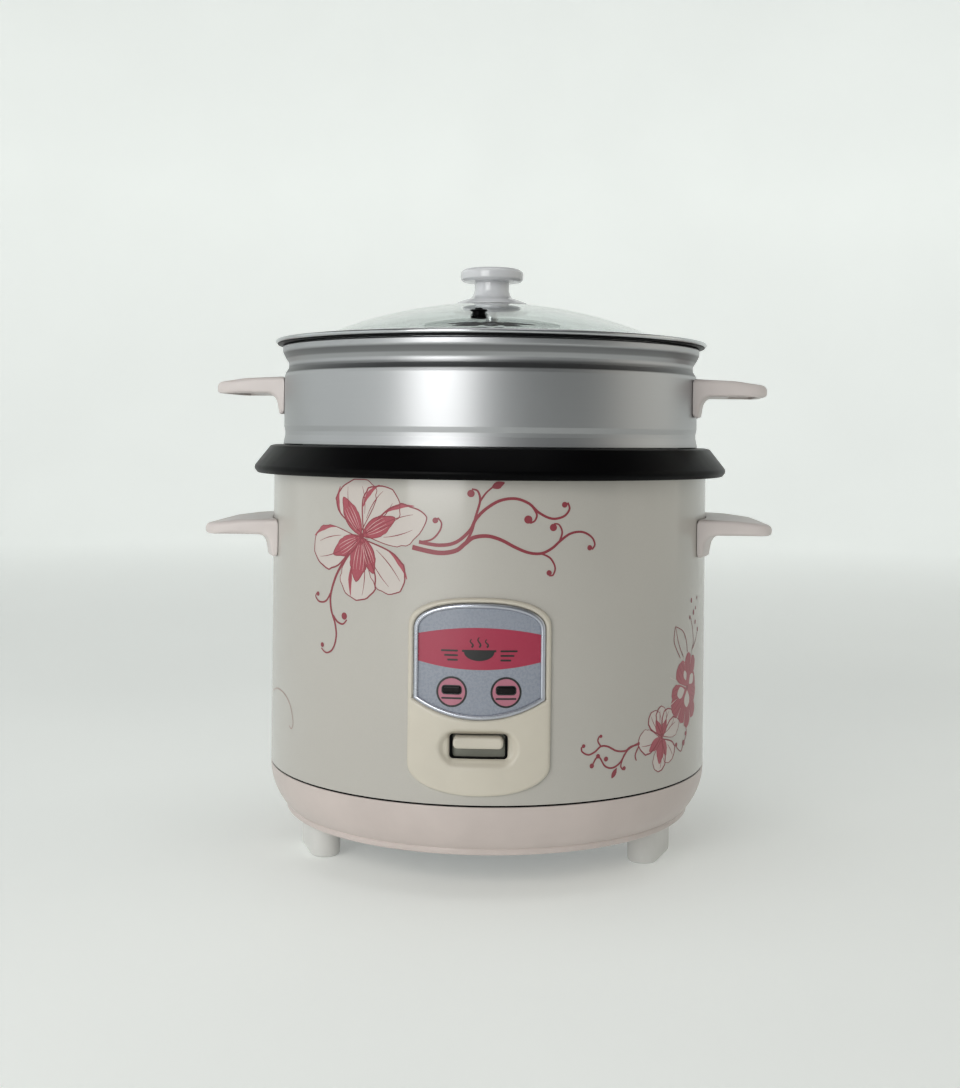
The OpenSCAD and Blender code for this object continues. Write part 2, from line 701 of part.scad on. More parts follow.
module steamer_floor() {
    color([0.80, 0.81, 0.83]) difference() {
        post(collar_r - 1.2, collar_z + 1 + slip, collar_z + 2);
        for (row = [0 : 4], i = [0 : 6 * row]) if (row == 0 || i > 0)
            rotate([0, 0, row == 0 ? 0 : 60 * i / row]) translate([row * 19, 0, collar_z - 1])
                cylinder(d = steam_hole_d, h = 5, $fn = 32);
    }
}

module steamer_handle() rotate([0, 0, steamer_turn])
    handle(steamer_r + slip, steamer_handle_reach, 29, 245.4, 256.4, 267, 262, 9, steamer_rivet_z);
module steamer_handle_right() steamer_handle();
module steamer_handle_left() rotate([0, 0, 180]) steamer_handle();
module steamer_rivets() {
    color(steel) for (a = [0, 180], t = [-9, 9]) rotate([0, 0, a + t + steamer_turn])
        translate([steamer_r - steamer_t - 0.3, 0, steamer_rivet_z]) rotate([0, 90, 0]) screw(1.45, 2.8, 2.9, 1.4);
}

// ---------- lid ----------

function dome_z(r, depth = 0) = dome_top_z - dome_r + sqrt(pow(dome_r - depth, 2) - r * r);
vent_z = dome_z(norm(vent));

// Dome running out into a flat flange, the face a depth below the outer one
function glass_line(depth) = concat(
    [for (i = [0 : 20]) [97 * i / 20, dome_z(97 * i / 20, depth)]],
    [[100.5, flange_z + 1.7 - depth], [103.5, flange_z + 0.7 - depth], [107, flange_z + 0.15 - depth],
     [111, flange_z - depth], [glass_r, flange_z - depth]]
);
module lid_glass() {
    inner = glass_line(glass_t);
    color([0.78, 0.88, 0.86, 0.35]) difference() {
        rotate_extrude() polygon(concat(glass_line(0), [for (i = [len(inner) - 1 : -1 : 0]) inner[i]]));
        post(3.2, 290, 320);
        translate([vent[0], vent[1], 0]) post(3.6, 280, 320);
    }
}

// Stainless band rolled round the edge of the glass, with a collar that centres the lid
module lid_band() {
    top = flange_z + fit_gap;
    color([0.72, 0.73, 0.75]) rotate_extrude() polygon([
        [117.2, 279.5], [118.2, 279.5], [118.2, 284.5], [121, 284.5], [121.5, 285.6], [124.2, 285.6], [124.8, 286],
        [125, 286.7], [124.8, 287.4], [124.2, 287.9], [121, top + 0.5], [116.6, top + 0.5], [116.4, top],
        [119.6, top], [119.6, 284.7], [117.2, 284.7]
    ]);
}

module lid_knob() {
    r = knob_d / 2;
    color([0.90, 0.90, 0.91]) difference() {
        rotate_extrude() polygon([
            [0, dome_top_z + 0.8], [17.4, dome_top_z + 0.8], [17.8, dome_top_z + 0.1], [21.6, dome_top_z - 0.2],
            [22.4, 311.3], [21.8, 312], [17, 312.7], [13.4, 313.8], [11, 315.4],
            [10.2, 317.6], [10.1, 322], [10.4, 323.6], [r - 2.6, 324], [r - 1, 324.6], [r, 326.2], [r, 328.4],
            [r - 0.8, 330.2], [r - 3.4, 331.3], [8, 331.9], [0, 332]
        ]);
        post(2.5, 305, 322);
    }
}

// Knob screw with its gasket, washer, spacer and steam deflector disc, and the vent grommet
deflector_z = 299;
module lid_fittings() {
    under_z = dome_top_z - glass_t;
    color(steel) {
        translate([0, 0, deflector_z - slip]) screw(2.4, 22, 4.6, 2.4);
        ring(26, 2.5, deflector_z, deflector_z + 0.8);
        ring(3.6, 2.5, deflector_z + 0.8 + slip, under_z - 1 - slip);
        ring(13.6, 2.5, under_z - 1, under_z - 0.45);
    }
    color([0.85, 0.85, 0.83]) ring(17, 3.2, dome_top_z + slip, dome_top_z + 0.75);
    translate([vent[0], vent[1], 0]) color([0.55, 0.55, 0.56]) difference() {
        union() {
            post(3.5, vent_z - 5.6, vent_z + 2.2);
            post(5.2, vent_z + 1.8, vent_z + 2.7);
            post(5.2, vent_z - 6.2, vent_z - 5.2);
        }
        post(2.4, 280, 320);
    }
}

base_shell();
bottom_plate();
foot_front_left();
foot_front_right();
foot_rear();
foot_screws();
tie_rods();
tie_rod_screws();
outer_shell();
top_ring();
inner_casing();
ring_screws();
body_handle_left();
body_handle_right();
body_handle_screws();
panel_frame();
panel_trim();
panel_label();
cook_lamp_window();
warm_lamp_window();
lamp_holder();
cook_lamp();
warm_lamp();
heating_plate();
heating_element();
plate_posts();
keep_warm_band();
thermal_fuse();
thermostat_frame();
thermostat_screws();
sensor_cap();
sensor_ferrite();
sensor_spring();
thermostat_magnet();
magnet_rod();
magnet_spring();
lever_bracket();
lever_pin();
bracket_screws();
switch_lever();
switch_button();
microswitch();
microswitch_plunger();
inlet_socket();
inlet_pins();
inlet_screws();
live_wire();
neutral_wire();
element_wire();
earth_wire();
inner_pot();
steamer_body();
steamer_floor();
steamer_handle_left();
steamer_handle_right();
steamer_rivets();
lid_glass();
lid_band();
lid_knob();
lid_fittings();
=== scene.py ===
from math import acos, atan2, ceil, cos, degrees, dist, exp, hypot, log, pi, radians, sin, sqrt, tan

import bmesh
import bpy
import numpy as np
from mathutils import Matrix, Vector
from mathutils.geometry import delaunay_2d_cdt


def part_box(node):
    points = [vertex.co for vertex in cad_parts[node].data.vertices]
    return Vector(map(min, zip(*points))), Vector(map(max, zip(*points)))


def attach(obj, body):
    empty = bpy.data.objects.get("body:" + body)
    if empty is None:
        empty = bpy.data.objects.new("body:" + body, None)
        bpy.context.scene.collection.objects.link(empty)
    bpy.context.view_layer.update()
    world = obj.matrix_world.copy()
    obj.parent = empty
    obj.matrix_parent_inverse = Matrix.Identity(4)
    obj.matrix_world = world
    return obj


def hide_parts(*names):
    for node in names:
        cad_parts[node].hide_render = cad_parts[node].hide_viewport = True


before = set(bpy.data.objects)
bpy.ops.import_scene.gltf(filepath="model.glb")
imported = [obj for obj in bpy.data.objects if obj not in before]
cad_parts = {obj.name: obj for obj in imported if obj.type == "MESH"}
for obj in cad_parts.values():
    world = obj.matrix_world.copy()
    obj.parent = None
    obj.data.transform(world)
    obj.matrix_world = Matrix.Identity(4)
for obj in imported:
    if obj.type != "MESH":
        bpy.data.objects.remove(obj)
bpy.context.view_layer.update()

MM = 0.001


def low(node):
    """Lower corner of a CAD node's box, in millimetres."""
    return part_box(node)[0] / MM


def high(node):
    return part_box(node)[1] / MM


def middle(node):
    return [(a + b) / 2 for a, b in zip(low(node), high(node))]


BODY_R = high("outer_shell").x
SEAM_Z = low("outer_shell").z - 0.6
RIM_Z = high("top_ring").z
LEDGE_Z = low("steamer_body").z


# ---------------------------------------------------------------- camera

def build_camera():
    distance, height = 0.85, 0.235
    turn, roll = radians(2), radians(-0.6)
    cam = bpy.data.cameras.new("camera")
    cam.sensor_width = 36
    cam.lens = 48
    cam.shift_x = -0.0095
    cam.shift_y = -0.101
    cam.clip_start = 0.01
    ob = bpy.data.objects.new("camera", cam)
    ob.location = (distance * sin(turn), -distance * cos(turn), height)
    ob.rotation_euler = (pi / 2, roll, turn)
    bpy.context.scene.collection.objects.link(ob)
    bpy.context.scene.camera = ob


# ---------------------------------------------------------------- materials

def srgb(r, g, b):
    def f(c):
        c /= 255
        return c / 12.92 if c <= 0.04045 else ((c + 0.055) / 1.055) ** 2.4
    return (f(r), f(g), f(b), 1)


class Mat:
    """A node material on object coordinates."""

    def __init__(self, name, rough=0.4, metallic=0.0, **sockets):
        self.m = bpy.data.materials.new(name)
        self.m.use_nodes = True
        self.bsdf = self.m.node_tree.nodes["Principled BSDF"]
        self.bsdf.inputs["Metallic"].default_value = metallic
        self.bsdf.inputs["Roughness"].default_value = rough
        for key, value in sockets.items():
            self.bsdf.inputs[key.replace("_", " ")].default_value = value
        self.coord = self.node("ShaderNodeTexCoord").outputs["Object"]
        self.height = None

    def node(self, kind, **props):
        n = self.m.node_tree.nodes.new(kind)
        for key, value in props.items():
            setattr(n, key, value)
        return n

    def feed(self, socket, value):
        """Sets a socket to a number or a colour, or links an output to it."""
        if isinstance(value, (int, float, tuple)):
            socket.default_value = value
        else:
            self.m.node_tree.links.new(value, socket)

    def scaled(self, scale):
        """Object coordinates times a number, or times one number for each axis."""
        n = self.node("ShaderNodeMapping")
        self.feed(n.inputs["Scale"], scale if isinstance(scale, tuple) else (scale,) * 3)
        self.feed(n.inputs["Vector"], self.coord)
        return n.outputs[0]

    def noise(self, scale, detail=3.0, rough=0.55):
        """Noise on the object's coordinates times a scale, or on a vector output."""
        n = self.node("ShaderNodeTexNoise")
        for key, value in (("Scale", 1.0), ("Detail", detail), ("Roughness", rough)):
            n.inputs[key].default_value = value
        self.feed(n.inputs["Vector"], self.scaled(scale) if isinstance(scale, (int, float, tuple)) else scale)
        return n.outputs["Fac"]

    def ramp(self, value, *stops):
        n = self.node("ShaderNodeValToRGB")
        marks = n.color_ramp.elements
        marks[0].position, marks[0].color = stops[0]
        marks[1].position, marks[1].color = stops[-1]
        for position, color in stops[1:-1]:
            marks.new(position).color = color
        self.feed(n.inputs[0], value)
        return n.outputs[0]

    def math(self, operation, *values):
        n = self.node("ShaderNodeMath", operation=operation)
        for socket, value in zip(n.inputs, values):
            self.feed(socket, value)
        return n.outputs[0]

    def times(self, a, b):
        return self.math("MULTIPLY", a, b)

    def mean(self, a, b):
        return self.math("ADD", self.times(a, 0.5), self.times(b, 0.5))

    def xyz(self):
        n = self.node("ShaderNodeSeparateXYZ")
        self.feed(n.inputs[0], self.coord)
        return n.outputs

    def mix(self, share, a, b):
        """The colour a, going over to b with the share."""
        n = self.node("ShaderNodeMix", data_type="RGBA")
        for i, value in ((0, share), (6, a), (7, b)):
            self.feed(n.inputs[i], value)
        return n.outputs[2]

    def remap(self, value, interpolation="LINEAR", **sockets):
        n = self.node("ShaderNodeMapRange", interpolation_type=interpolation)
        for key, number in sockets.items():
            n.inputs[key.replace("_", " ")].default_value = number
        self.feed(n.inputs["Value"], value)
        return n.outputs[0]

    def color(self, value):
        self.feed(self.bsdf.inputs["Base Color"], value)

    def roughness(self, value, least, most):
        self.feed(self.bsdf.inputs["Roughness"], self.remap(value, To_Min=least, To_Max=most))

    def bump(self, value, distance, strength=1.0):
        """Adds a relief, its depth in metres, on top of those already there."""
        n = self.node("ShaderNodeBump")
        n.inputs["Strength"].default_value = strength
        n.inputs["Distance"].default_value = distance
        self.feed(n.inputs["Height"], value)
        if self.height is not None:
            self.feed(n.inputs["Normal"], self.height)
        self.height = n.outputs[0]
        self.feed(self.bsdf.inputs["Normal"], self.height)


def shade(color, k):
    return (color[0] * k, color[1] * k, color[2] * k, 1)


def plastic(name, color, rough=0.35, grain=2200, depth=4e-6, mottle=0.05, **sockets):
    """Moulded plastic: faint flow mottling, fine spark-erosion grain, slightly uneven gloss."""
    m = Mat(name, rough, **sockets)
    flow = m.noise(35, 4)
    m.color(m.ramp(flow, (0.3, shade(color, 1 - mottle)), (0.7, shade(color, 1 + mottle * 0.6))))
    m.roughness(m.noise(90, 5), rough - 0.06, rough + 0.08)
    m.bump(m.noise(grain, 2), depth)
    m.bump(m.noise(60, 2), depth * 6, 0.5)
    return m.m


def spun_metal(name, color, rough=0.3, lines=9000, depth=2.5e-6, radial=False, grooves=()):
    """Sheet metal turned on a lathe: hair lines run round the axis, with slow cloudy variation.
    Grooves are (height in mm, painted shade 0-1) stops up the piece: shade painted into the colour in bands."""
    m = Mat(name, rough, 1.0)
    x, y, z = m.xyz()
    r = m.math("SQRT", m.math("ADD", m.times(x, x), m.times(y, y)))
    # hair lines lie close together across the turning marks and are long along them
    stretched = m.node("ShaderNodeCombineXYZ")
    for socket, axis, scale in zip(stretched.inputs, (x, y, r if radial else z), (14, 14, lines)):
        m.feed(socket, m.times(axis, scale))
    hair = m.noise(stretched.outputs[0], 2)
    cloud = m.noise(22, 4)
    brushed = m.mix(m.times(hair, 0.4), shade(color, 1.03), shade(color, 0.92))
    # painted shade: the metal is darkened in bands at the grooves' slopes, standing in for the dark they
    # reflect
    if grooves:
        first, last = grooves[0][0], grooves[-1][0]
        height = m.math("DIVIDE", m.math("SUBTRACT", z, first * MM), (last - first) * MM)
        groove_shade = m.ramp(height, *[((h - first) / (last - first), (t, t, t, 1)) for h, t in grooves])
        brushed = m.mix(groove_shade, brushed, shade(color, 0.2))
    m.color(brushed)
    m.roughness(m.mean(hair, cloud), rough - 0.04, rough + 0.06)
    m.bump(hair, depth)
    m.bump(cloud, 2e-5, 0.2)
    return m.m


def sheet_metal(name, color, rough=0.35, metallic=1.0):
    """Plain plated sheet: rolling grain, light spangle and small scuffs."""
    m = Mat(name, rough, metallic)
    grain = m.noise((60, 1800, 1800), 3)
    spots = m.noise(260, 5)
    m.color(m.mix(spots, shade(color, 0.9), shade(color, 1.08)))
    m.roughness(m.mean(grain, spots), rough - 0.1, rough + 0.12)
    m.bump(grain, 4e-6)
    return m.m


def lacquer(name, color, rough=0.3, contrast=0.1, gloss=0.25, peel=6e-6):
    """Pearl lacquer: tiny flakes, very faint orange peel."""
    m = Mat(name, rough, 0.0, Coat_Weight=gloss, Coat_Roughness=0.1)
    flakes = m.mix(m.noise(2600, 2, 0.7), shade(color, 1 - contrast), shade(color, 1 + contrast * 0.8))
    m.color(m.mix(m.times(m.noise(9, 3), 0.35), flakes, shade(color, 0.93)))
    m.roughness(m.noise(700, 2), rough - 0.05, rough + 0.08)
    m.bump(m.noise(320, 2), peel)
    return m.m


def ink(name, color, thin):
    """Printed ink of uneven coverage, thin being its colour where it lies thinnest."""
    m = Mat(name, 0.34, 0.0, Coat_Weight=0.2, Coat_Roughness=0.2)
    blot = m.noise(900, 4, 0.7)
    m.color(m.mix(m.times(blot, 0.7), color, thin))
    m.roughness(blot, 0.28, 0.42)
    m.bump(blot, 2e-6)
    return m.m


def clear_glass():
    m = Mat("clear_glass", 0.02, 0.0, Transmission_Weight=1.0, IOR=1.47)
    m.color(m.ramp(m.noise(12, 2), (0.3, (0.90, 0.95, 0.935, 1)), (0.7, (0.94, 0.975, 0.965, 1))))
    m.roughness(m.noise(150, 4), 0.01, 0.04)
    m.bump(m.noise(25, 2), 2e-5, 0.2)
    return m.m


M = {}

# height in millimetres and painted shade (0-1) of the drum's two grooves under its rim, darkening its slopes
# there
DRUM_GROOVE_SHADE = ((268.2, 0), (269.0, 0.85), (272.2, 0.7), (273.4, 0.05), (276.4, 0.05), (277.3, 0.6),
                (279.8, 0.75), (280.8, 0))
INKS = {
    "crimson_ink": ((152, 30, 60), (164, 44, 74)), "lamp_pink": ((166, 98, 116), (178, 114, 130)),
    "petal_ink": ((190, 181, 175), (198, 190, 184)), "rose_ink": ((148, 52, 66), (176, 94, 104)),
    "line_ink": ((126, 40, 52), (146, 62, 72)), "light_ink": ((192, 148, 148), (202, 168, 166)),
    "black_ink": ((4, 3, 4), (10, 8, 9)), "faded_ink": ((150, 124, 116), (166, 144, 136)),
}


def build_materials():
    def make(kind, name, rgb, *numbers, **options):
        M[name] = kind(name, srgb(*rgb), *numbers, **options)

    make(plastic, "pearl_plastic", (207, 198, 195), 0.36)
    make(plastic, "base_plastic", (196, 184, 179), 0.33)
    make(plastic, "grey_plastic", (210, 209, 206), 0.42, 1500)
    make(plastic, "black_plastic", (3, 3, 4), 0.34, 2400, 1e-6, 0.1, Specular_IOR_Level=0.05)
    make(plastic, "ivory_plastic", (200, 193, 179), 0.34)
    make(plastic, "white_plastic", (216, 216, 212), 0.5)
    make(plastic, "crimson_plastic", (170, 30, 30), 0.35)
    make(plastic, "knob_plastic", (218, 219, 222), 0.18, 2600, 2e-6, 0.03, Coat_Weight=0.3)
    make(plastic, "lamp_smoke", (10, 6, 7), 0.2, 900, 2e-6, 0.2, Specular_IOR_Level=0.2)
    make(plastic, "lamp_glass", (244, 206, 160), 0.12, 500, 1e-6, 0.05, Transmission_Weight=0.7)
    make(plastic, "silicone", (120, 128, 128), 0.4, 1500)
    make(plastic, "heater_band", (176, 146, 86), 0.5, 700, 2e-5, 0.2)
    make(plastic, "ferrite", (54, 54, 58), 0.6, 1200, 2e-5, 0.15)
    for wire, rgb in (("wire_brown", (104, 62, 40)), ("wire_blue", (52, 82, 160)),
                      ("wire_white", (220, 220, 216)), ("wire_green", (120, 160, 50))):
        make(plastic, wire, rgb, 0.42, 900)
    make(spun_metal, "bezel_chrome", (186, 189, 198), 0.27, 4000, 1e-6)
    make(spun_metal, "steamer_aluminium", (168, 170, 174), 0.4, depth=8e-7)
    make(spun_metal, "drum_aluminium", (172, 173, 175), 0.4, depth=8e-7, grooves=DRUM_GROOVE_SHADE)
    make(spun_metal, "pot_aluminium", (196, 198, 200), 0.36)
    make(spun_metal, "rim_steel", (186, 188, 190), 0.2, 5000, 1e-6)
    make(spun_metal, "cast_aluminium", (188, 190, 192), 0.42, 2600, 8e-6, radial=True)
    make(sheet_metal, "plain_steel", (178, 180, 182), 0.4)
    make(sheet_metal, "screw_steel", (205, 205, 206), 0.22)
    make(sheet_metal, "spring_steel", (150, 151, 154), 0.3)
    make(sheet_metal, "key_plate", (122, 122, 112), 0.5, 0.2)
    make(sheet_metal, "brass_part", (206, 176, 104), 0.28)
    make(sheet_metal, "heater_sheath", (92, 86, 82), 0.6, 0.8)
    # dark steel of the disc under the lid glass: painted shade
    make(sheet_metal, "deflector_steel", (26, 32, 34), 0.5, 0.2)
    make(lacquer, "printed_steel", (180, 176, 169), gloss=0.6)
    make(lacquer, "label_film", (136, 141, 153), 0.26, 0.03, peel=1e-6)
    for name, (full, thin) in INKS.items():
        M[name] = ink(name, srgb(*full), srgb(*thin))
    M["clear_glass"] = clear_glass()


# ---------------------------------------------------------------- mesh helpers

def mesh_object(name, verts, faces, smooth=40):
    """An object from points in millimetres, its edges sharp over an angle."""
    bm = bmesh.new()
    points = [bm.verts.new((x * MM, y * MM, z * MM)) for x, y, z in verts]
    for face in faces:
        bm.faces.new([points[i] for i in face])
    bmesh.ops.recalc_face_normals(bm, faces=bm.faces)
    mesh = bpy.data.meshes.new(name)
    bm.to_mesh(mesh)
    bm.free()
    mesh.shade_smooth()
    mesh.set_sharp_from_angle(angle=radians(smooth))
    ob = bpy.data.objects.new(name, mesh)
    bpy.context.scene.collection.objects.link(ob)
    return ob


def add(name, verts, faces, body, mat, replaces=(), smooth=40):
    """A closed mesh piece riding on a body."""
    ob = mesh_object(name, verts, faces, smooth)
    ob.data.materials.append(M[mat])
    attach(ob, body)
    if replaces:
        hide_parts(*replaces)
    return ob


def arc_points(cx, cz, r, angles):
    """Points on an arc about (cx, cz), angles in degrees."""
    return [(cx + r * cos(radians(a)), cz + r * sin(radians(a))) for a in angles]


def soft(points, steps=6):
    """Closed outline from (x, y, radius) corners, each corner rounded to its radius."""
    out = []
    for i, (x, y, radius) in enumerate(points):
        p = Vector((x, y))
        a = Vector(points[i - 1][:2]) - p
        b = Vector(points[(i + 1) % len(points)][:2]) - p
        if radius <= 0 or a.length < 1e-6 or b.length < 1e-6:
            out.append((x, y))
            continue
        a_way, b_way = a.normalized(), b.normalized()
        half = acos(max(-1, min(1, a_way.dot(b_way)))) / 2
        if half > radians(88):
            out.append((x, y))
            continue
        cut = min(radius / tan(half), a.length * 0.49, b.length * 0.49)
        centre = p + (a_way + b_way).normalized() * (cut * tan(half) / sin(half))
        start, end = p + a_way * cut - centre, p + b_way * cut - centre
        turn = start.angle_signed(end)
        for k in range(steps + 1):
            v = start.copy()
            v.rotate(Matrix.Rotation(-turn * k / steps, 2))
            out.append((centre.x + v.x, centre.y + v.y))
    return out


def skin(rings, ends):
    """Points and faces over rings of 3-D points, a ring of one point being a pole. The two end rings
    are "joined" to each other, "capped" or "open"."""
    size = max(len(ring) for ring in rings)
    verts, index = [], []
    for ring in rings:
        index.append([len(verts) + k % len(ring) for k in range(size)])
        verts += ring
    faces = []
    for a, b in zip(index, index[1:] + (index[:1] if ends == "joined" else [])):
        for k in range(size):
            j = (k + 1) % size
            face = list(dict.fromkeys((a[k], a[j], b[j], b[k])))
            if len(face) > 2:
                faces.append(face)
    if ends == "capped":
        faces += [index[0], index[-1]]
    return verts, faces


def turned(profile, seg):
    """Rings of an (r, z) profile about the Z axis, a point on the axis being a pole."""
    angles = [2 * pi * k / seg for k in range(seg)]
    return [[(0, 0, z)] if r < 1e-4 else [(r * cos(a), r * sin(a), z) for a in angles] for r, z in profile]


def lathe(name, profile, body, mat, seg=180, **options):
    """A closed solid of revolution from a closed (r, z) outline."""
    return add(name, *skin(turned(profile, seg), "joined"), body, mat, **options)


def spin_about(name, start, profile, body, mat, seg=28):
    """A solid turned about the Y axis from a point, its profile (radius, distance back)."""
    x0, y0, z0 = start
    rings = [[(x0 + x, y0 + back, z0 + z) for x, z, back in ring] for ring in turned(profile, seg)]
    return add(name, *skin(rings, "joined"), body, mat)


def inside(x, y, loops):
    """Whether a point lies within closed 2-D loops, by the even-odd rule."""
    odd = False
    for loop in loops:
        x0, y0 = loop[-1]
        for x1, y1 in loop:
            if (y1 > y) != (y0 > y) and x < (x0 - x1) * (y - y1) / (y0 - y1) + x1:
                odd = not odd
            x0, y0 = x1, y1
    return odd


def dense(loop, step):
    """The loop with points added along its edges, at most a step apart."""
    out = []
    for i, a in enumerate(loop):
        b = loop[(i + 1) % len(loop)]
        n = max(1, ceil(dist(a, b) / step))
        out += [(a[0] + (b[0] - a[0]) * k / n, a[1] + (b[1] - a[1]) * k / n) for k in range(n)]
    return out


def fill(loops, step, extra=()):
    """Triangles filling closed 2-D loops (even-odd), with inner points about a step apart."""
    loops = [dense(loop, step) for loop in loops]
    pts, edges = [], []
    for loop in loops:
        s = len(pts)
        pts += loop
        edges += [(s + i, s + (i + 1) % len(loop)) for i in range(len(loop))]
    xs, ys = [p[0] for p in pts], [p[1] for p in pts]
    pts += extra
    cells = {}
    for x, y in pts:
        cells.setdefault((round(x / step), round(y / step)), []).append((x, y))

    def clear(x, y):
        cx, cy = round(x / step), round(y / step)
        near = [q for i in (-1, 0, 1) for j in (-1, 0, 1) for q in cells.get((cx + i, cy + j), ())]
        return all(dist((x, y), q) > step * 0.5 for q in near)

    for i in range(int((max(xs) - min(xs)) / step) + 1):
        for j in range(int((max(ys) - min(ys)) / step) + 1):
            x = min(xs) + (i + 0.5 * (j % 2)) * step
            y = min(ys) + j * step
            if clear(x, y) and inside(x, y, loops):
                pts.append((x, y))
    v, _, triangles = delaunay_2d_cdt([Vector(p) for p in pts], edges, [], 0, 1e-5)[:3]
    kept = [list(t) for t in triangles
            if inside(sum(v[i].x for i in t) / 3, sum(v[i].y for i in t) / 3, loops)]
    return [(p.x, p.y) for p in v], kept


def thick(pts, tris, front, back):
    """Closed solid between two surfaces front(u, z) and back(u, z) over the same triangles."""
    used = sorted({i for t in tris for i in t})
    at = {v: k for k, v in enumerate(used)}
    n = len(used)
    verts = [front(*pts[i]) for i in used] + [back(*pts[i]) for i in used]
    faces = [[at[i] for i in t] for t in tris] + [[at[i] + n for i in reversed(t)] for t in tris]
    count = {}
    for t in tris:
        for a, b in ((t[0], t[1]), (t[1], t[2]), (t[2], t[0])):
            count.setdefault(frozenset((a, b)), []).append((a, b))
    for pair in count.values():
        if len(pair) == 1:
            a, b = pair[0]
            faces.append([at[b], at[a], at[a] + n, at[b] + n])
    return verts, faces


def arc(u, z, r):
    """A point u millimetres round the shell from the front."""
    a = u / BODY_R
    return (r * sin(a), -r * cos(a), z)


def flat(u, z, r):
    """A point on a cylinder straight behind (u, z) seen from the front."""
    return (u, -sqrt(r * r - u * u), z)


def spline(points, n):
    """Smooth path through 2-D points, n steps from one to the next."""
    out = []
    for i in range(len(points) - 1):
        p = [points[max(i - 1, 0)], points[i], points[i + 1], points[min(i + 2, len(points) - 1)]]
        for t in [k / n for k in range(n)]:
            out.append(tuple(0.5 * (2 * b + (c - a) * t + (2 * a - 5 * b + 4 * c - d) * t * t
                                    + (3 * b - a - 3 * c + d) * t ** 3) for a, b, c, d in zip(*p)))
    out.append(tuple(points[-1]))
    return out


class Print:
    """Collects thin printed shapes of one ink into one piece."""

    def __init__(self, name, mat, place, r0, r1):
        self.name, self.mat, self.place, self.r0, self.r1 = name, mat, place, r0, r1
        self.verts, self.faces = [], []

    def solid(self, verts, faces):
        first = len(self.verts)
        self.verts += verts
        self.faces += [[first + i for i in face] for face in faces]

    def stroke(self, path):
        """A ribbon along (u, z, width) points."""
        rings = []
        for i, (u, z, w) in enumerate(path):
            a, b = path[max(i - 1, 0)], path[min(i + 1, len(path) - 1)]
            du, dz = b[0] - a[0], b[1] - a[1]
            d = hypot(du, dz) or 1
            nu, nz = -dz / d * w / 2, du / d * w / 2
            rings.append([self.place(u + nu * k, z + nz * k, r)
                          for k, r in ((1, self.r0), (1, self.r1), (-1, self.r1), (-1, self.r0))])
        self.solid(*skin(rings, "capped"))

    def area(self, loops, step=1.2):
        pts, tris = fill(loops, step)
        self.solid(*thick(pts, tris, lambda u, z: self.place(u, z, self.r1),
                          lambda u, z: self.place(u, z, self.r0)))

    def dot(self, u, z, r, squash=1.0, n=14):
        self.area([circle(u, z, r, n, squash)], 0.9)

    def build(self, **options):
        return add(self.name, self.verts, self.faces, "cooker", self.mat, **options)


# ---------------------------------------------------------------- outlines

def crown(x, n):
    return max(0.0, 1 - min(abs(x), 1) ** n) ** (1 / n)


def ease(t):
    """0 to 1 with level ends, t held between them."""
    t = max(0.0, min(1.0, t))
    return t * t * (3 - 2 * t)


def outline(half_w, top, bottom, steps=26):
    """Outline symmetric about u = 0, both curves functions of u / half_w."""
    s = [sin(pi / 2 * i / steps) for i in range(-steps, steps + 1)]
    return [(half_w * t, bottom(t)) for t in s] + [(half_w * t, top(t)) for t in reversed(s)]


def rrect(w, h, r, cx=0.0, cz=0.0, steps=6):
    return soft([(cx - w / 2, cz - h / 2, r), (cx + w / 2, cz - h / 2, r),
                 (cx + w / 2, cz + h / 2, r), (cx - w / 2, cz + h / 2, r)], steps)


def circle(cx, cz, r, n=48, squash=1.0):
    return [(cx + r * cos(2 * pi * k / n), cz + r * squash * sin(2 * pi * k / n)) for k in range(n)]


def clean(loop, gap=0.05):
    """The loop without points that lie on top of their neighbours."""
    out = []
    for p in loop:
        if not out or dist(p, out[-1]) > gap:
            out.append(p)
    while dist(out[0], out[-1]) < gap:
        out.pop()
    return out


def area_of(loop):
    return sum(a[0] * b[1] - b[0] * a[1] for a, b in zip(loop, loop[1:] + loop[:1])) / 2


def inset(loop, d):
    """The loop moved inwards by d, with mitred corners."""
    sign = 1 if area_of(loop) > 0 else -1
    out = []
    n = len(loop)
    for i, p in enumerate(loop):
        a, b = loop[i - 1], loop[(i + 1) % n]
        e0 = Vector((p[0] - a[0], p[1] - a[1])).normalized()
        e1 = Vector((b[0] - p[0], b[1] - p[1])).normalized()
        normal = Vector((-(e0.y + e1.y), e0.x + e1.x))
        if normal.length < 1e-6:
            normal = Vector((-e0.y, e0.x))
        normal.normalize()
        stretch = 1 / max(0.35, normal.dot(Vector((-e0.y, e0.x))))
        out.append((p[0] + normal.x * d * sign * stretch, p[1] + normal.y * d * sign * stretch))
    return out


def edge_distance(points, loops):
    """Distance of each point from the nearest edge of the loops."""
    p = np.array(points)[:, None, :]
    best = np.full(len(points), 1e9)
    for loop in loops:
        a = np.array(loop)
        d = np.roll(a, -1, axis=0) - a
        t = np.clip(((p - a) * d).sum(2) / np.maximum((d * d).sum(1), 1e-12), 0, 1)
        near = np.hypot(*np.moveaxis(p - (a + t[..., None] * d), 2, 0)).min(1)
        best = np.minimum(best, near)
    return best


def round_drop(distance, rho):
    """How far a rounded edge lies below the face, at a distance from the edge."""
    t = np.clip(rho - distance, 0, rho)
    return rho - np.sqrt(rho * rho - t * t)


